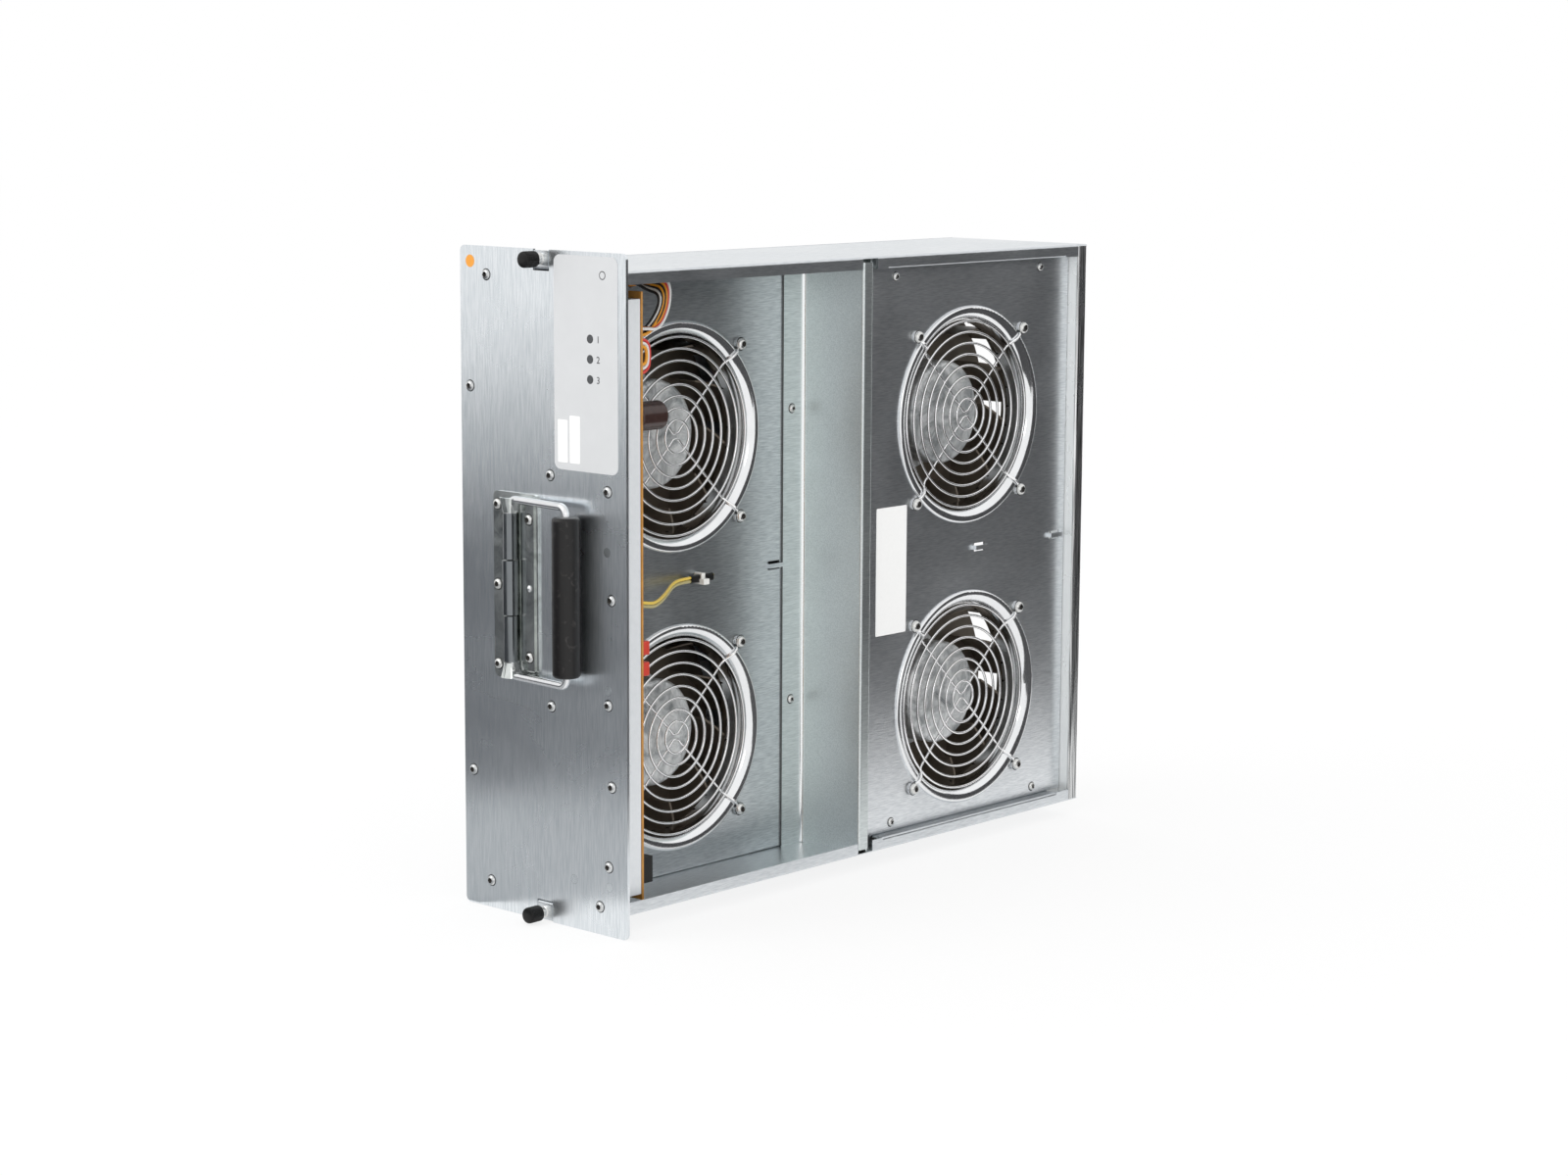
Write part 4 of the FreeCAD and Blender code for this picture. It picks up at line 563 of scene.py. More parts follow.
screw_form = build_screw_tree()
FACING_OUT = (0, math.pi / 2, 0)
FACING_FRONT = (math.pi / 2, 0, 0)
FACING_REAR = (-math.pi / 2, 0, 0)
FACING_BACK = (0, -math.pi / 2, 0)


def solid_boxes(node):
    """Corners of each separate solid in a CAD node, in order of their low corners."""
    shape = bmesh.new()
    shape.from_mesh(nodes[node].data)
    bmesh.ops.remove_doubles(shape, verts=shape.verts[:], dist=1e-6)
    left = set(shape.verts)
    boxes = []
    while left:
        stack = [left.pop()]
        found = list(stack)
        while stack:
            for edge in stack.pop().link_edges:
                for vert in edge.verts:
                    if vert in left:
                        left.remove(vert)
                        stack.append(vert)
                        found.append(vert)
        low = Vector(map(min, *[v.co for v in found]))
        high = Vector(map(max, *[v.co for v in found]))
        boxes.append((low, high))
    shape.free()
    return sorted(boxes, key=lambda box: tuple(box[0]))


def seats(node, heads_at, head_height):
    """Underside of each head: heads_at is the axis and whether the heads are at its low or high end."""
    axis, end = heads_at
    places = []
    for low, high in solid_boxes(node):
        place = (low + high) / 2
        place[axis] = high[axis] - head_height if end == "high" else low[axis] + head_height
        places.append(place)
    return places


HEX = socket_outline(0.0016)
CROSS = cross_outline(0.0017, 0.0005)
HEAD_M4 = 0.0030
HEAD_M3 = 0.0018
BUTTON_M4 = (0.0041, 0.0029, 0.0019)
BUTTON_M3 = (0.0034, 0.0017, 0.00145)
PAN_M3 = (0.0029, 0.0017, 0.00145)
SCREW_SETS = {
    "guard_screws": ((*BUTTON_M4, 0.006, HEX, 0.0018), FACING_OUT, (0, "high"), HEAD_M4, 1, screw_zinc),
    "motor_screws": ((*BUTTON_M4, 0.0045, HEX, 0.0018), FACING_BACK, (0, "low"), HEAD_M4, 2, screw_zinc),
    "panel_screws": ((*PAN_M3, 0.007, CROSS, 0.001), FACING_OUT, (0, "high"), HEAD_M3, 3, screw_zinc),
    "board_screws": ((*PAN_M3, 0.007, CROSS, 0.001), FACING_REAR, (1, "high"), HEAD_M3, 6, screw_zinc),
    "faceplate_screws": ((*BUTTON_M3, 0.007, HEX, 0.0012), FACING_FRONT, (1, "low"), HEAD_M3, 4, dull_zinc),
    "handle_screws": ((*BUTTON_M3, 0.007, HEX, 0.0012), FACING_FRONT, (1, "low"), HEAD_M3, 5, screw_zinc),
}
for node, (sizes, facing, heads_at, head_height, seed, plating) in SCREW_SETS.items():
    screw = screw_shape(f"{node}_shape", *sizes)
    values = {"Screw": screw, "Facing": facing, "Seed": seed, "Plating": plating}
    made = grown(f"{node}_turned", screw_form, values, seats(node, heads_at, head_height))
    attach(made, "tray")
    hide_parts(node)
    bpy.data.objects.remove(screw)


# Control board: an amber laminate board with its parts, screwed to a folded bracket behind the faceplate.
# A large sleeved capacitor, dipped film capacitors and moulded plugs stand on it.
def plain(name, low, high, scale, relief_strength=0.1, **sockets):
    material, tree, surface = coat(name, **sockets)
    place = add(tree, "ShaderNodeTexCoord")
    noise = add(tree, "ShaderNodeTexNoise", {"Scale": scale, "Detail": 4.0, "Roughness": 0.6})
    colour = blended(tree, low, high)
    relief = add(tree, "ShaderNodeBump", {"Strength": relief_strength, "Distance": 0.0003})
    join(tree, place, "Object", noise, "Vector")
    join(tree, noise, "Fac", colour, "Factor")
    join(tree, noise, "Fac", relief, "Height")
    tree.links.new(colour.outputs[2], surface.inputs["Base Color"])
    join(tree, relief, "Normal", surface, "Normal")
    return material


PALE_TONES = [(0.74, 0.77, 0.79, 1), (0.85, 0.87, 0.89, 1)]
pale_zinc = plain("pale_zinc", *PALE_TONES, 240.0, 0.05, Metallic=0.15, Roughness=0.4)
dress(pale_zinc, "board_bracket")
amber_board = plain("amber_board", (0.40, 0.18, 0.04, 1), (0.70, 0.34, 0.07, 1), 160.0, Roughness=0.45)
SLEEVE_TONES = [(0.030, 0.014, 0.012, 1), (0.055, 0.028, 0.024, 1)]
brown_sleeve = plain("brown_sleeve", *SLEEVE_TONES, 300.0, Roughness=0.22)
red_dip = plain("red_dip", (0.50, 0.03, 0.02, 1), (0.70, 0.07, 0.04, 1), 200.0, Roughness=0.3)
MOULD_TONES = [(0.006, 0.006, 0.006, 1), (0.016, 0.016, 0.016, 1)]
black_mould = plain("black_mould", *MOULD_TONES, 900.0, 0.2, Roughness=0.38, Specular_IOR_Level=0.25)
dress(amber_board, "control_board")
dress(brown_sleeve, "capacitor")
dress(red_dip, "film_capacitors")
dress(black_mould, "board_connectors", "rear_connector", "lead_sleeve")


# Wiring: stranded hook-up wires with coloured covers, from a hole in the fan panel to the board's plug.
# Three short jumpers stand on the board, and a sensor pair crosses the bay to a tie on the fan panel.
def wire_cover(name, colour):
    shade = tuple(channel * 0.8 for channel in colour[:3]) + (1,)
    return plain(name, shade, colour, 500.0, 0.06, Roughness=0.34)


covers = {
    "black": wire_cover("black_cover", (0.012, 0.012, 0.012, 1)),
    "white": wire_cover("white_cover", (0.82, 0.82, 0.80, 1)),
    "red": wire_cover("red_cover", (0.72, 0.06, 0.05, 1)),
    "orange": wire_cover("orange_cover", (0.85, 0.36, 0.02, 1)),
    "yellow": wire_cover("yellow_cover", (0.86, 0.62, 0.10, 1)),
    "olive": wire_cover("olive_cover", (0.48, 0.43, 0.20, 1)),
}
WIRE = 0.00105
FRAME_SHIFT = 231.05


def tray_point(x, y, z):
    """Millimetres from the faceplate's front and the tray's foot, as the frame's metres."""
    return Vector((x, y - FRAME_SHIFT, z)) / 1000


def wire_run(name, cover, points, *hidden):
    made = as_mesh(curve_piece(name, [tray_point(*point) for point in points], WIRE, sides=3), name)
    made.data.materials.append(covers[cover])
    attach(made, "tray")
    if hidden:
        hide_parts(*hidden)


bundle = ["black", "white", "black", "orange", "black", "orange", "red", "white"]
BUNDLE_RADIUS = 2.4
HOLE_Y, HOLE_Z = 70.5, 409
PIN_X, PIN_Z = 34.0, 378
PIN_STEP, ROW_STEP = 3, 4
ROW_PINS = 4
for i, cover in enumerate(bundle):
    turn = 2 * math.pi * i / (len(bundle) - 1)
    spread = 0.0 if i == 0 else BUNDLE_RADIUS
    hole = (HOLE_Y + spread * math.cos(turn), HOLE_Z + spread * math.sin(turn))
    x, y, top = 36 + 0.6 * i, 66 + 0.8 * i, 404.5 + 1.25 * i
    pin_x, pin_z = PIN_X + PIN_STEP * (i % ROW_PINS), PIN_Z + ROW_STEP * (i // ROW_PINS)
    route = [(-2, *hole), (12, *hole), (x - 10, 0.5 * (y + HOLE_Y), top), (x + 1, y + 1.5, top - 1.5)]
    route += [(x + 1.5, y + 1.5, 395), (x, y - 7, 383 - 0.4 * i), (pin_x, 51, pin_z), (pin_x, 44, pin_z)]
    wire_run(f"harness_{i}", cover, route, *(["fan_harness"] if i == 0 else []))

BOARD_BACK = 36.4
PAD_Y = 36.2
loops = [("orange", 3.4, 372.0, 360.5), ("white", 5.2, 374.2, 357.8), ("red", 7.0, 376.4, 355.0)]
for i, (cover, out, high, low) in enumerate(loops):
    x, reach = 52.0 - 0.9 * i, BOARD_BACK + 1.1 * out
    crown = (x + 0.6, BOARD_BACK + 1.3 * out, (high + low) / 2)
    route = [(x, PAD_Y, high), (x, reach, high), crown, (x, reach, low), (x, PAD_Y, low)]
    wire_run(f"jumper_{i}", cover, route)

SENSOR = [(41.3, 44.0, 206.5), (41.3, 52, 205), (40, 61, 203.8), (30, 80, 206), (17, 100, 209.5)]
SENSOR += [(13.15, 112, 210.5), (13.15, 130, 210.5), (13.15, 143, 210.5)]
SENSOR_HALF = 1.15
for side, cover in ((-SENSOR_HALF, "olive"), (SENSOR_HALF, "yellow")):
    hidden = ["fan_lead"] if cover == "olive" else []
    wire_run(f"sensor_{cover}", cover, [(x, y, z + side) for x, y, z in SENSOR], *hidden)
tie_nylon = plain("tie_nylon", (0.78, 0.78, 0.74, 1), (0.88, 0.88, 0.85, 1), 400.0, Roughness=0.4)
dress(tie_nylon, "cable_tie")


# Faceplate: a 2 mm zinc-plated plate with rounded corners, brushed from top to bottom.
# The heads of weld studs show as faint, nearly flush discs, each in a thin seam.
face_zinc = zinc_sheet("face_zinc", UPRIGHT, (0.69, 0.735, 0.765, 1), (0.86, 0.89, 0.915, 1), 0.27, 0.04, 0.6)
dress(face_zinc, "faceplate")


def slab(name, outline, rise, material, body, sharp=None):
    """Closed prism from an outline of points, raised by a vector."""
    shape = bmesh.new()
    low = [shape.verts.new(point) for point in outline]
    high = [shape.verts.new(Vector(point) + Vector(rise)) for point in outline]
    count = len(outline)
    shape.faces.new(low)
    shape.faces.new(high[::-1])
    for i in range(count):
        shape.faces.new((low[i], high[i], high[(i + 1) % count], low[(i + 1) % count]))
    piece = piece_of(shape, name, sharp)
    piece.data.materials.append(material)
    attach(piece, body)
    return piece


def rounded_outline(left, right, bottom, top, corner, steps=6):
    outline = []
    centres = [(right - corner, top - corner), (left + corner, top - corner)]
    centres += [(left + corner, bottom + corner), (right - corner, bottom + corner)]
    for quarter, (u, v) in enumerate(centres):
        for step in range(steps + 1):
            angle = math.pi / 2 * (quarter + step / steps)
            outline.append((u + corner * math.cos(angle), v + corner * math.sin(angle)))
    return outline


def on_face(outline, y=0.0):
    return [tray_point(x, y, z) for x, z in outline]


def round_spot(x, z, radius, steps=32):
    turns = [2 * math.pi * i / steps for i in range(steps)]
    return [(x + radius * math.cos(turn), z + radius * math.sin(turn)) for turn in turns]


def forward(millimetres):
    return Vector((0, -millimetres / 1000, 0))


stud_zinc = cast_metal("stud_zinc", (0.66, 0.70, 0.73, 1), (0.84, 0.88, 0.90, 1), 300.0, 0.3, 0.1)
stud_dull = cast_metal("stud_dull", (0.30, 0.32, 0.33, 1), (0.44, 0.46, 0.47, 1), 300.0, 0.34)
stud_rim = cast_metal("stud_rim", (0.34, 0.36, 0.38, 1), (0.46, 0.48, 0.50, 1), 300.0, 0.4)
STUD_SEAM, STUD_HEAD = 3.15, 2.95
SEAM_RISE, HEAD_RISE = 0.04, 0.12
STUDS = [(58, 246), (58.2, 158.2), (27, 32), (59, 32)]
for i, (x, z) in enumerate(STUDS):
    head_zinc = stud_dull if i == 0 else stud_zinc
    seam, head = (on_face(round_spot(x, z, radius)) for radius in (STUD_SEAM, STUD_HEAD))
    slab(f"stud_seam_{i}", seam, forward(SEAM_RISE), stud_rim, "tray")
    slab(f"stud_head_{i}", head, forward(HEAD_RISE), head_zinc, "tray")


# Divider's fold and foot: the inside of the fold has a wide soft bend; its glossier finish is real, and its
# paler colour is a painted highlight.
# A dark strip along the foot's sheared edge is painted shadow of the gap there.
# Pale tones of the fold's painted highlight.
fold_highlight_paint = cast_metal("fold_highlight_paint", (0.88, 0.91, 0.91, 1), (0.96, 0.98, 0.98, 1), 80.0, 0.16, 0.03)
# Dark tones of the foot edge's painted shadow.
edge_shadow_paint = cast_metal("edge_shadow_paint", (0.10, 0.105, 0.105, 1), (0.22, 0.225, 0.225, 1), 300.0, 0.5)
FOLD_RADIUS = 2.4
FOLD_STEPS = 6
DIVIDER_FACE = 236.0
FOOT_END = 216.0
FOOT_SHEET = 1.2
EDGE_RISE = 0.06
EDGE_LAP = 0.02
FOLD_LAP = 0.1
END_GAP = 0.5
foot_low, divider_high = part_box("divider")
foot_x = foot_low.x * 1000 + FOOT_SHEET
foot_z = foot_low.z * 1000 + END_GAP
fold = [(foot_x - FOLD_LAP, DIVIDER_FACE + FOLD_LAP)]
for step in range(FOLD_STEPS + 1):
    angle = math.pi / 2 * step / FOLD_STEPS
    out, back = FOLD_RADIUS * (1 - math.cos(angle)), FOLD_RADIUS * (1 - math.sin(angle))
    fold.append((foot_x + out, DIVIDER_FACE - back))
tall = Vector((0, 0, divider_high.z - foot_low.z - 2 * END_GAP / 1000))
fold_foot = [tray_point(x, y, foot_z) for x, y in fold]
slab("divider_fold", fold_foot, tall, fold_highlight_paint, "tray", 40)
sheared = [(foot_x - FOOT_SHEET, FOOT_END), (foot_x + EDGE_LAP, FOOT_END)]
sheared += [(foot_x + EDGE_LAP, FOOT_END - EDGE_RISE), (foot_x - FOOT_SHEET, FOOT_END - EDGE_RISE)]
slab("foot_edge", [tray_point(x, y, foot_z) for x, y in sheared], tall, edge_shadow_paint, "tray")


# Front label: a satin polyester film stuck on the upper corner, with three smoked lamp windows.
# Plain numbers are printed beside the windows, and a plain ring near the top.
# Two blank paper stickers and an orange inspection dot are stuck on by hand.
label_film = plain("label_film", (0.62, 0.63, 0.64, 1), (0.68, 0.69, 0.70, 1), 60.0, 0.05, Roughness=0.42)
FILM = 0.3
INK = 0.03
PAPER = 0.12
LABEL_EDGES = (11.6, 68.0, 295.0, 429.5)
film = rounded_outline(*LABEL_EDGES, 5.0)
label = slab("label_film", on_face(film), forward(FILM), label_film, "tray")
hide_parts("label_overlay")
lamp_smoke = plain("lamp_smoke", (0.045, 0.048, 0.052, 1), (0.085, 0.09, 0.095, 1), 200.0, Roughness=0.16)
dress(lamp_smoke, "light_pipes")
label_ink = plain("label_ink", (0.02, 0.02, 0.022, 1), (0.045, 0.045, 0.05, 1), 700.0, Roughness=0.5)
FILM_FRONT = -FILM
LAMP_X = 43.8
LAMP_HEIGHTS = (378.3, 365.7, 353.1)
LAMP_RIM, LAMP_WINDOW = 2.75, 2.45
WINDOW_RISE = 0.1
NUMBER_X, NUMBER_Y = 49.4, -0.34
NUMBER_DROP = 2.2
RING_MARK = (54.8, 418)
RING_OUTSIDE, RING_INSIDE = 2.75, 2.15
toward_front = Matrix.Rotation(math.pi / 2, 4, "X")
for number, z in enumerate(LAMP_HEIGHTS, start=1):
    rim, window = (on_face(round_spot(LAMP_X, z, radius), FILM_FRONT) for radius in (LAMP_RIM, LAMP_WINDOW))
    slab(f"lamp_rim_{number}", rim, forward(INK), label_ink, "tray")
    slab(f"lamp_window_{number}", window, forward(WINDOW_RISE), lamp_smoke, "tray")
    figure = bpy.data.curves.new(f"lamp_number_{number}", "FONT")
    figure.body = str(number)
    figure.size = 0.0062
    figure.extrude = 0.00002
    drawn = bpy.data.objects.new(f"lamp_number_{number}", figure)
    bpy.context.scene.collection.objects.link(drawn)
    printed = as_mesh(drawn, f"lamp_number_{number}")
    printed.data.transform(Matrix.Translation(tray_point(NUMBER_X, NUMBER_Y, z - NUMBER_DROP)) @ toward_front)
    printed.data.materials.append(label_ink)
    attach(printed, "tray")
ring_ink = on_face(round_spot(*RING_MARK, RING_OUTSIDE), FILM_FRONT)
ring_film = on_face(round_spot(*RING_MARK, RING_INSIDE), FILM_FRONT)
slab("label_ring", ring_ink, forward(INK), label_ink, "tray")
slab("label_ring_inside", ring_film, forward(2 * INK), label_film, "tray")
paper = plain("sticker_paper", (0.91, 0.91, 0.90, 1), (0.96, 0.96, 0.95, 1), 500.0, 0.1, Roughness=0.6)
STICKER_CORNER = 0.8
STICKERS = [(14.8, 23.6, 299.5, 326.5), (25.4, 34.6, 299.5, 329.5)]
for i, edges in enumerate(STICKERS):
    sticker = on_face(rounded_outline(*edges, STICKER_CORNER), FILM_FRONT)
    slab(f"blank_sticker_{i}", sticker, forward(PAPER), paper, "tray")
orange_paper = plain("orange_paper", (0.80, 0.30, 0.03, 1), (0.92, 0.40, 0.05, 1), 300.0, 0.1, Roughness=0.55)
ORANGE_DOT = (-65.6, 422, 4.0)
slab("orange_dot", on_face(round_spot(*ORANGE_DOT)), forward(PAPER), orange_paper, "tray")


# Rear fan panel's label: a blank white paper label stuck on beside the divider.
# It lies flat on the zinc, with slightly rounded corners.
PANEL_X = 54.5
PANEL_LABEL = (261.5, 293.5, 159.5, 248.0)
outline = [tray_point(PANEL_X, y, z) for y, z in rounded_outline(*PANEL_LABEL, STICKER_CORNER)]
slab("panel_label", outline, Vector((PAPER / 1000, 0, 0)), paper, "tray")


# Folding handle: a bright-plated base with rolled knuckles, a raised leaf, a wire bail and a rubber grip.
# Screws hold the base, and a rivet closes the leaf.
# Split cups shroud the bail where it leaves the barrel.
handle_zinc = cast_metal("handle_zinc", (0.18, 0.195, 0.19, 1), (0.92, 0.95, 0.93, 1), 45.0, 0.16, 0.03)
dress(handle_zinc, "handle_plate")

# The barrel's rolled knuckles stand out in front of the leaf; their darker tone is a painted dark reflection.
LEAF_FRONT = -0.2345
KNUCKLE_BLEND = 0.0013
toned_by_place(handle_zinc, "Y", LEAF_FRONT - KNUCKLE_BLEND, LEAF_FRONT, (0.20, 0.215, 0.225, 1))
cup_zinc = cast_metal("cup_zinc", (0.50, 0.53, 0.52, 1), (0.86, 0.89, 0.87, 1), 90.0, 0.16, 0.03)
bail_zinc = cast_metal("bail_zinc", (0.70, 0.71, 0.72, 1), (0.90, 0.90, 0.91, 1), 60.0, 0.18, 0.05)
dress(bail_zinc, "handle_bail")


def spun(name, profile, matrix, material, body, start=0.0, sweep=2 * math.pi, steps=48):
    """Turn a closed profile of radius and height about its axis; a sweep under a full turn gets end faces."""
    shape = bmesh.new()
    whole = sweep > 2 * math.pi - 1e-6
    stations = steps if whole else steps + 1
    rows = []
    for station in range(stations):
        angle = start + sweep * station / steps
        along, up = math.cos(angle), math.sin(angle)
        ring = [matrix @ Vector((r * along, r * up, h)) / 1000 for r, h in profile]
        rows.append([shape.verts.new(point) for point in ring])
    count = len(profile)
    for station in range(steps):
        here, there = rows[station], rows[(station + 1) % stations]
        for i in range(count):
            shape.faces.new((here[i], there[i], there[(i + 1) % count], here[(i + 1) % count]))
    if not whole:
        shape.faces.new(rows[0])
        shape.faces.new(rows[-1][::-1])
    bmesh.ops.remove_doubles(shape, verts=shape.verts[:], dist=1e-7)
    piece = piece_of(shape, name, 35)
    piece.data.materials.append(material)
    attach(piece, body)
    return piece


BARREL_AXIS = tray_point(-23.5, -6.4, 216) * 1000
CUP = [(3.2, 0.0), (4.6, 0.0), (4.9, 2.5), (5.6, 5.5), (6.6, 9.6)]
CUP += [(5.9, 9.8), (4.9, 5.8), (4.2, 2.8), (3.9, 0.8), (3.2, 0.6)]
CUP_OUT = 48.6
CUP_SWEEP = 50
CUP_STARTS = {"left": -140, "right": -84}
for side, name in ((1, "upper"), (-1, "lower")):
    cup_end = BARREL_AXIS + Vector((0, 0, side * CUP_OUT))
    cup_place = Matrix.Translation(cup_end) @ Matrix.Diagonal((1, 1, side, 1))
    for half, first in CUP_STARTS.items():
        spun(f"{name}_cup_{half}", CUP, cup_place, cup_zinc, "handle",
             math.radians(first), math.radians(CUP_SWEEP), 12)
RIVET = [(0.0, 0.0), (2.3, 0.0), (2.2, 0.5), (1.6, 1.0), (0.8, 1.25), (0.0, 1.3)]
RIVET_SEAT = (-10.0, -2.7, 216)
rivet_place = Matrix.Translation(tray_point(*RIVET_SEAT) * 1000) @ toward_front
spun("leaf_rivet", RIVET, rivet_place, bail_zinc, "tray", steps=24)

grip_rubber, grip_tree, grip_surface = coat("grip_rubber", Roughness=0.28, Specular_IOR_Level=0.4)
grip_place = add(grip_tree, "ShaderNodeTexCoord")
grip_pull = add(grip_tree, "ShaderNodeMapping", {"Scale": (900, 900, 60)})
grip_grain = add(grip_tree, "ShaderNodeTexNoise", {"Scale": 1.0, "Detail": 5.0, "Roughness": 0.7})
grip_scuff = add(grip_tree, "ShaderNodeTexNoise", {"Scale": 140.0, "Detail": 6.0, "Distortion": 1.5})
grip_worn = add(grip_tree, "ShaderNodeMapRange", {"From Min": 0.58, "From Max": 0.74})
grip_colour = blended(grip_tree, (0.003, 0.0025, 0.0026, 1), (0.008, 0.007, 0.0072, 1))
grip_scuffed = blended(grip_tree, (0, 0, 0, 1), (0.040, 0.036, 0.035, 1))
grip_relief = add(grip_tree, "ShaderNodeBump", {"Strength": 0.3, "Distance": 0.0003})
join(grip_tree, grip_place, "Object", grip_pull, "Vector")
join(grip_tree, grip_pull, "Vector", grip_grain, "Vector")
join(grip_tree, grip_place, "Object", grip_scuff, "Vector")
join(grip_tree, grip_scuff, "Fac", grip_worn, "Value")
join(grip_tree, grip_grain, "Fac", grip_colour, "Factor")
grip_tree.links.new(grip_colour.outputs[2], grip_scuffed.inputs[6])
join(grip_tree, grip_worn, "Result", grip_scuffed, "Factor")
grip_tree.links.new(grip_scuffed.outputs[2], grip_surface.inputs["Base Color"])
join(grip_tree, grip_grain, "Fac", grip_relief, "Height")
join(grip_tree, grip_relief, "Normal", grip_surface, "Normal")
dress(grip_rubber, "handle_grip")


# Captive screws: black moulded knobs with fine ribs, on plated screws that slide and turn in ferrules.
# Each waisted ferrule is pressed into the rail's ear.
# A washer behind it keeps the screw from falling out.
dress(screw_zinc, "upper_captive_screw", "lower_captive_screw")
dress(screw_zinc, "upper_captive_washer", "lower_captive_washer")
KNOB_RIBS = 30
RIB_DEPTH = 0.28
KNOB = [(4.25, 11.4, 0), (4.25, 6.1, 0), (4.25, 5.6, 0), (4.8, 5.5, 0), (5.1, 5.8, 1), (5.2, 6.6, 1)]
KNOB += [(5.2, 14.6, 1), (5.05, 15.4, 1), (4.6, 16.0, 0), (3.4, 16.35, 0), (1.8, 16.48, 0)]
KNOB_TONES = [(0.004, 0.004, 0.004, 1), (0.010, 0.010, 0.010, 1)]
knob_black = plain("knob_black", *KNOB_TONES, 900.0, 0.15, Roughness=0.26, Specular_IOR_Level=0.22)


def ribbed_knob(side, z):
    shape = bmesh.new()
    steps = KNOB_RIBS * 4
    rows = []
    for radius, out, ribbed in KNOB:
        ring = []
        for step in range(steps):
            angle = 2 * math.pi * step / steps
            reach = radius - ribbed * RIB_DEPTH * (step % 4 in (2, 3))
            place = tray_point(reach * math.cos(angle), -out, z + reach * math.sin(angle))
            ring.append(shape.verts.new(place))
        rows.append(ring)
    for inner, outer in zip(rows, rows[1:]):
        for i in range(steps):
            shape.faces.new((inner[i], outer[i], outer[(i + 1) % steps], inner[(i + 1) % steps]))
    shape.faces.new(rows[0])
    shape.faces.new(rows[-1])
    knob = piece_of(shape, f"{side}_ribbed_knob", 30)
    knob.data.materials.append(knob_black)
    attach(knob, f"{side}_captive_turner")
    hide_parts(f"{side}_captive_knob")


FERRULE = [(2.1, -1.2), (3.1, -1.2), (3.1, 0.0), (3.8, 0.0), (3.8, 1.1), (3.2, 1.6)]
FERRULE += [(3.1, 2.8), (3.7, 3.3), (3.75, 4.2), (3.5, 4.5), (2.1, 4.5)]
CAPTIVE_HEIGHTS = {"upper": 426, "lower": 6}
for side, z in CAPTIVE_HEIGHTS.items():
    ribbed_knob(side, z)
    ferrule_place = Matrix.Translation(tray_point(0, 0, z) * 1000) @ toward_front
    ferrule = spun(f"{side}_ferrule", FERRULE, ferrule_place, screw_zinc, "tray", steps=40)
    if side == "upper":
        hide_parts("captive_ferrules")


# Stage: a white matt floor under an even white studio sky, with the camera at the photograph's place.
# Black and grey cloths and flags, hidden from the camera, give the bright sheets something dark to mirror.
# A wide soft lamp stands in front, and a small one over the camera.
FLOOR = 12.0
FLOOR_Z = -0.0002
LAMP_AIM = Vector((0, 0, 0.2))


def sheet_of_stage(name, corners, material):
    mesh = bpy.data.meshes.new(name)
    mesh.from_pydata([tuple(corner) for corner in corners], [], [(0, 1, 2, 3)])
    mesh.materials.append(material)
    sheet = bpy.data.objects.new(name, mesh)
    bpy.context.scene.collection.objects.link(sheet)
    return sheet


floor_white, floor_tree, floor_surface = coat(
    "floor_white", Base_Color=(1, 1, 1, 1), Roughness=0.9, Specular_IOR_Level=0.0)
seen = add(floor_tree, "ShaderNodeLightPath")
any_view = add(floor_tree, "ShaderNodeMath", operation="MAXIMUM")
clear_view = add(floor_tree, "ShaderNodeMath", operation="MAXIMUM")
share = add(floor_tree, "ShaderNodeMath", {1: 0.8}, operation="MULTIPLY")
white = add(floor_tree, "ShaderNodeEmission", {"Color": (1, 1, 1, 1), "Strength": 1.0})
both = add(floor_tree, "ShaderNodeMixShader")
join(floor_tree, seen, "Is Camera Ray", any_view, 0)
join(floor_tree, seen, "Is Glossy Ray", any_view, 1)
join(floor_tree, any_view, 0, clear_view, 0)
join(floor_tree, seen, "Is Transmission Ray", clear_view, 1)
join(floor_tree, clear_view, 0, share, 0)
join(floor_tree, share, 0, both, 0)
join(floor_tree, floor_surface, "BSDF", both, 1)
join(floor_tree, white, "Emission", both, 2)
join(floor_tree, both, 0, floor_tree.nodes["Material Output"], "Surface")
floor_ends = [(-FLOOR, -FLOOR), (FLOOR, -FLOOR), (FLOOR, FLOOR), (-FLOOR, FLOOR)]
sheet_of_stage("floor", [(x, y, FLOOR_Z) for x, y in floor_ends], floor_white)

side_black = coat("side_black", Base_Color=(0.055, 0.055, 0.058, 1), Roughness=0.9)[0]
front_grey = coat("front_grey", Base_Color=(0.12, 0.125, 0.135, 1), Roughness=0.9)[0]
pale_grey = coat("pale_grey", Base_Color=(0.48, 0.49, 0.50, 1), Roughness=0.9)[0]
side_cloth = [(0.28, -0.10, 0.001), (1.25, -0.10, 0.001), (2.2, 2.2, 0.001), (0.28, 1.6, 0.001)]
side_flag = [(2.0, 0.3, 0.0), (0.5, 1.8, 0.0), (0.5, 1.8, 0.75), (2.0, 0.3, 0.75)]
near_cloth = [(0.513, -0.838, 0.001), (0.271, -1.072, 0.001), (-0.829, 0.089, 0.001), (-0.587, 0.322, 0.001)]
front_cloth = [(0.271, -1.072, 0.001), (-0.32, -1.64, 0.001), (-1.42, -0.48, 0.001), (-0.829, 0.089, 0.001)]
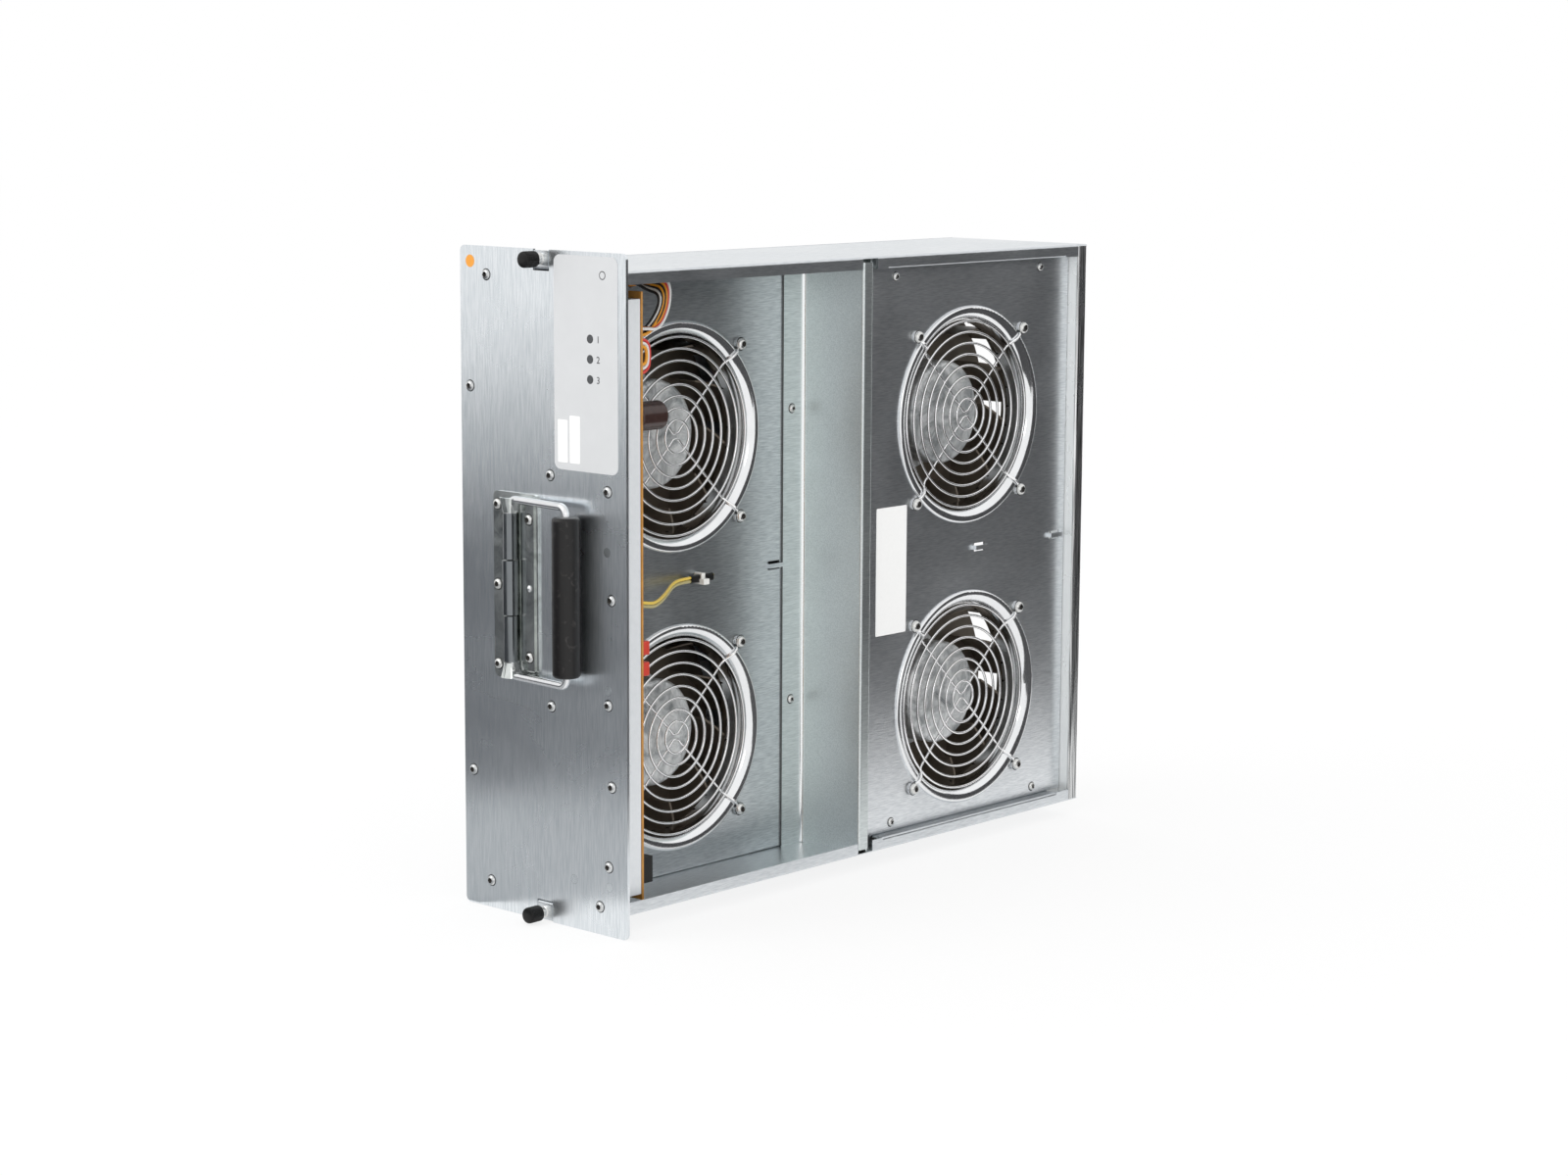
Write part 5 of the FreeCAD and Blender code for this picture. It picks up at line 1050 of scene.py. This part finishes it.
front_flag = [(-0.32, -1.64, 0.0), (-1.42, -0.48, 0.0), (-1.42, -0.48, 0.125), (-0.32, -1.64, 0.125)]
upper_flag = [(-0.32, -1.64, 0.125), (-1.42, -0.48, 0.125), (-1.42, -0.48, 0.24), (-0.32, -1.64, 0.24)]
cards = {"side_cloth": (side_cloth, side_black), "side_flag": (side_flag, side_black)}
cards |= {"near_cloth": (near_cloth, pale_grey), "front_cloth": (front_cloth, front_grey)}
cards |= {"front_flag": (front_flag, front_grey), "upper_flag": (upper_flag, pale_grey)}
for name, (corners, cloth) in cards.items():
    card = sheet_of_stage(name, corners, cloth)
    card.visible_camera = False
    card.visible_diffuse = False
    card.visible_shadow = False

world = bpy.data.worlds.new("studio")
bpy.context.scene.world = world
world.use_nodes = True
sky = world.node_tree
sky.nodes["Background"].inputs["Color"].default_value = (1, 1, 1, 1)
sky.nodes["Background"].inputs["Strength"].default_value = 1.0

LAMPS = {"soft_lamp": ((-0.9, -1.9, 1.6), 1.6, 1.2, 8.0), "edge_lamp": ((1.5, -1.55, 0.85), 0.3, 0.5, 1.2)}
for name, (place, width, height, watts) in LAMPS.items():
    light = bpy.data.lights.new(name, "AREA")
    light.shape = "RECTANGLE"
    light.size = width
    light.size_y = height
    light.energy = watts
    lamp = bpy.data.objects.new(name, light)
    lamp.location = place
    lamp.rotation_euler = (LAMP_AIM - Vector(place)).to_track_quat("-Z", "Y").to_euler()
    bpy.context.scene.collection.objects.link(lamp)

CAMERA_PLACE = (1.4921, -1.6499, 0.5436)
CAMERA_TURN = (80.994, -0.275, 42.220)
PHOTO_LENS = 75.09
camera = bpy.data.cameras.new("camera")
camera.sensor_width = 36.0
camera.lens = PHOTO_LENS
viewer = bpy.data.objects.new("camera", camera)
viewer.location = CAMERA_PLACE
viewer.rotation_euler = [math.radians(angle) for angle in CAMERA_TURN]
bpy.context.scene.collection.objects.link(viewer)
bpy.context.scene.camera = viewer
bpy.context.scene.view_settings.view_transform = "Standard"
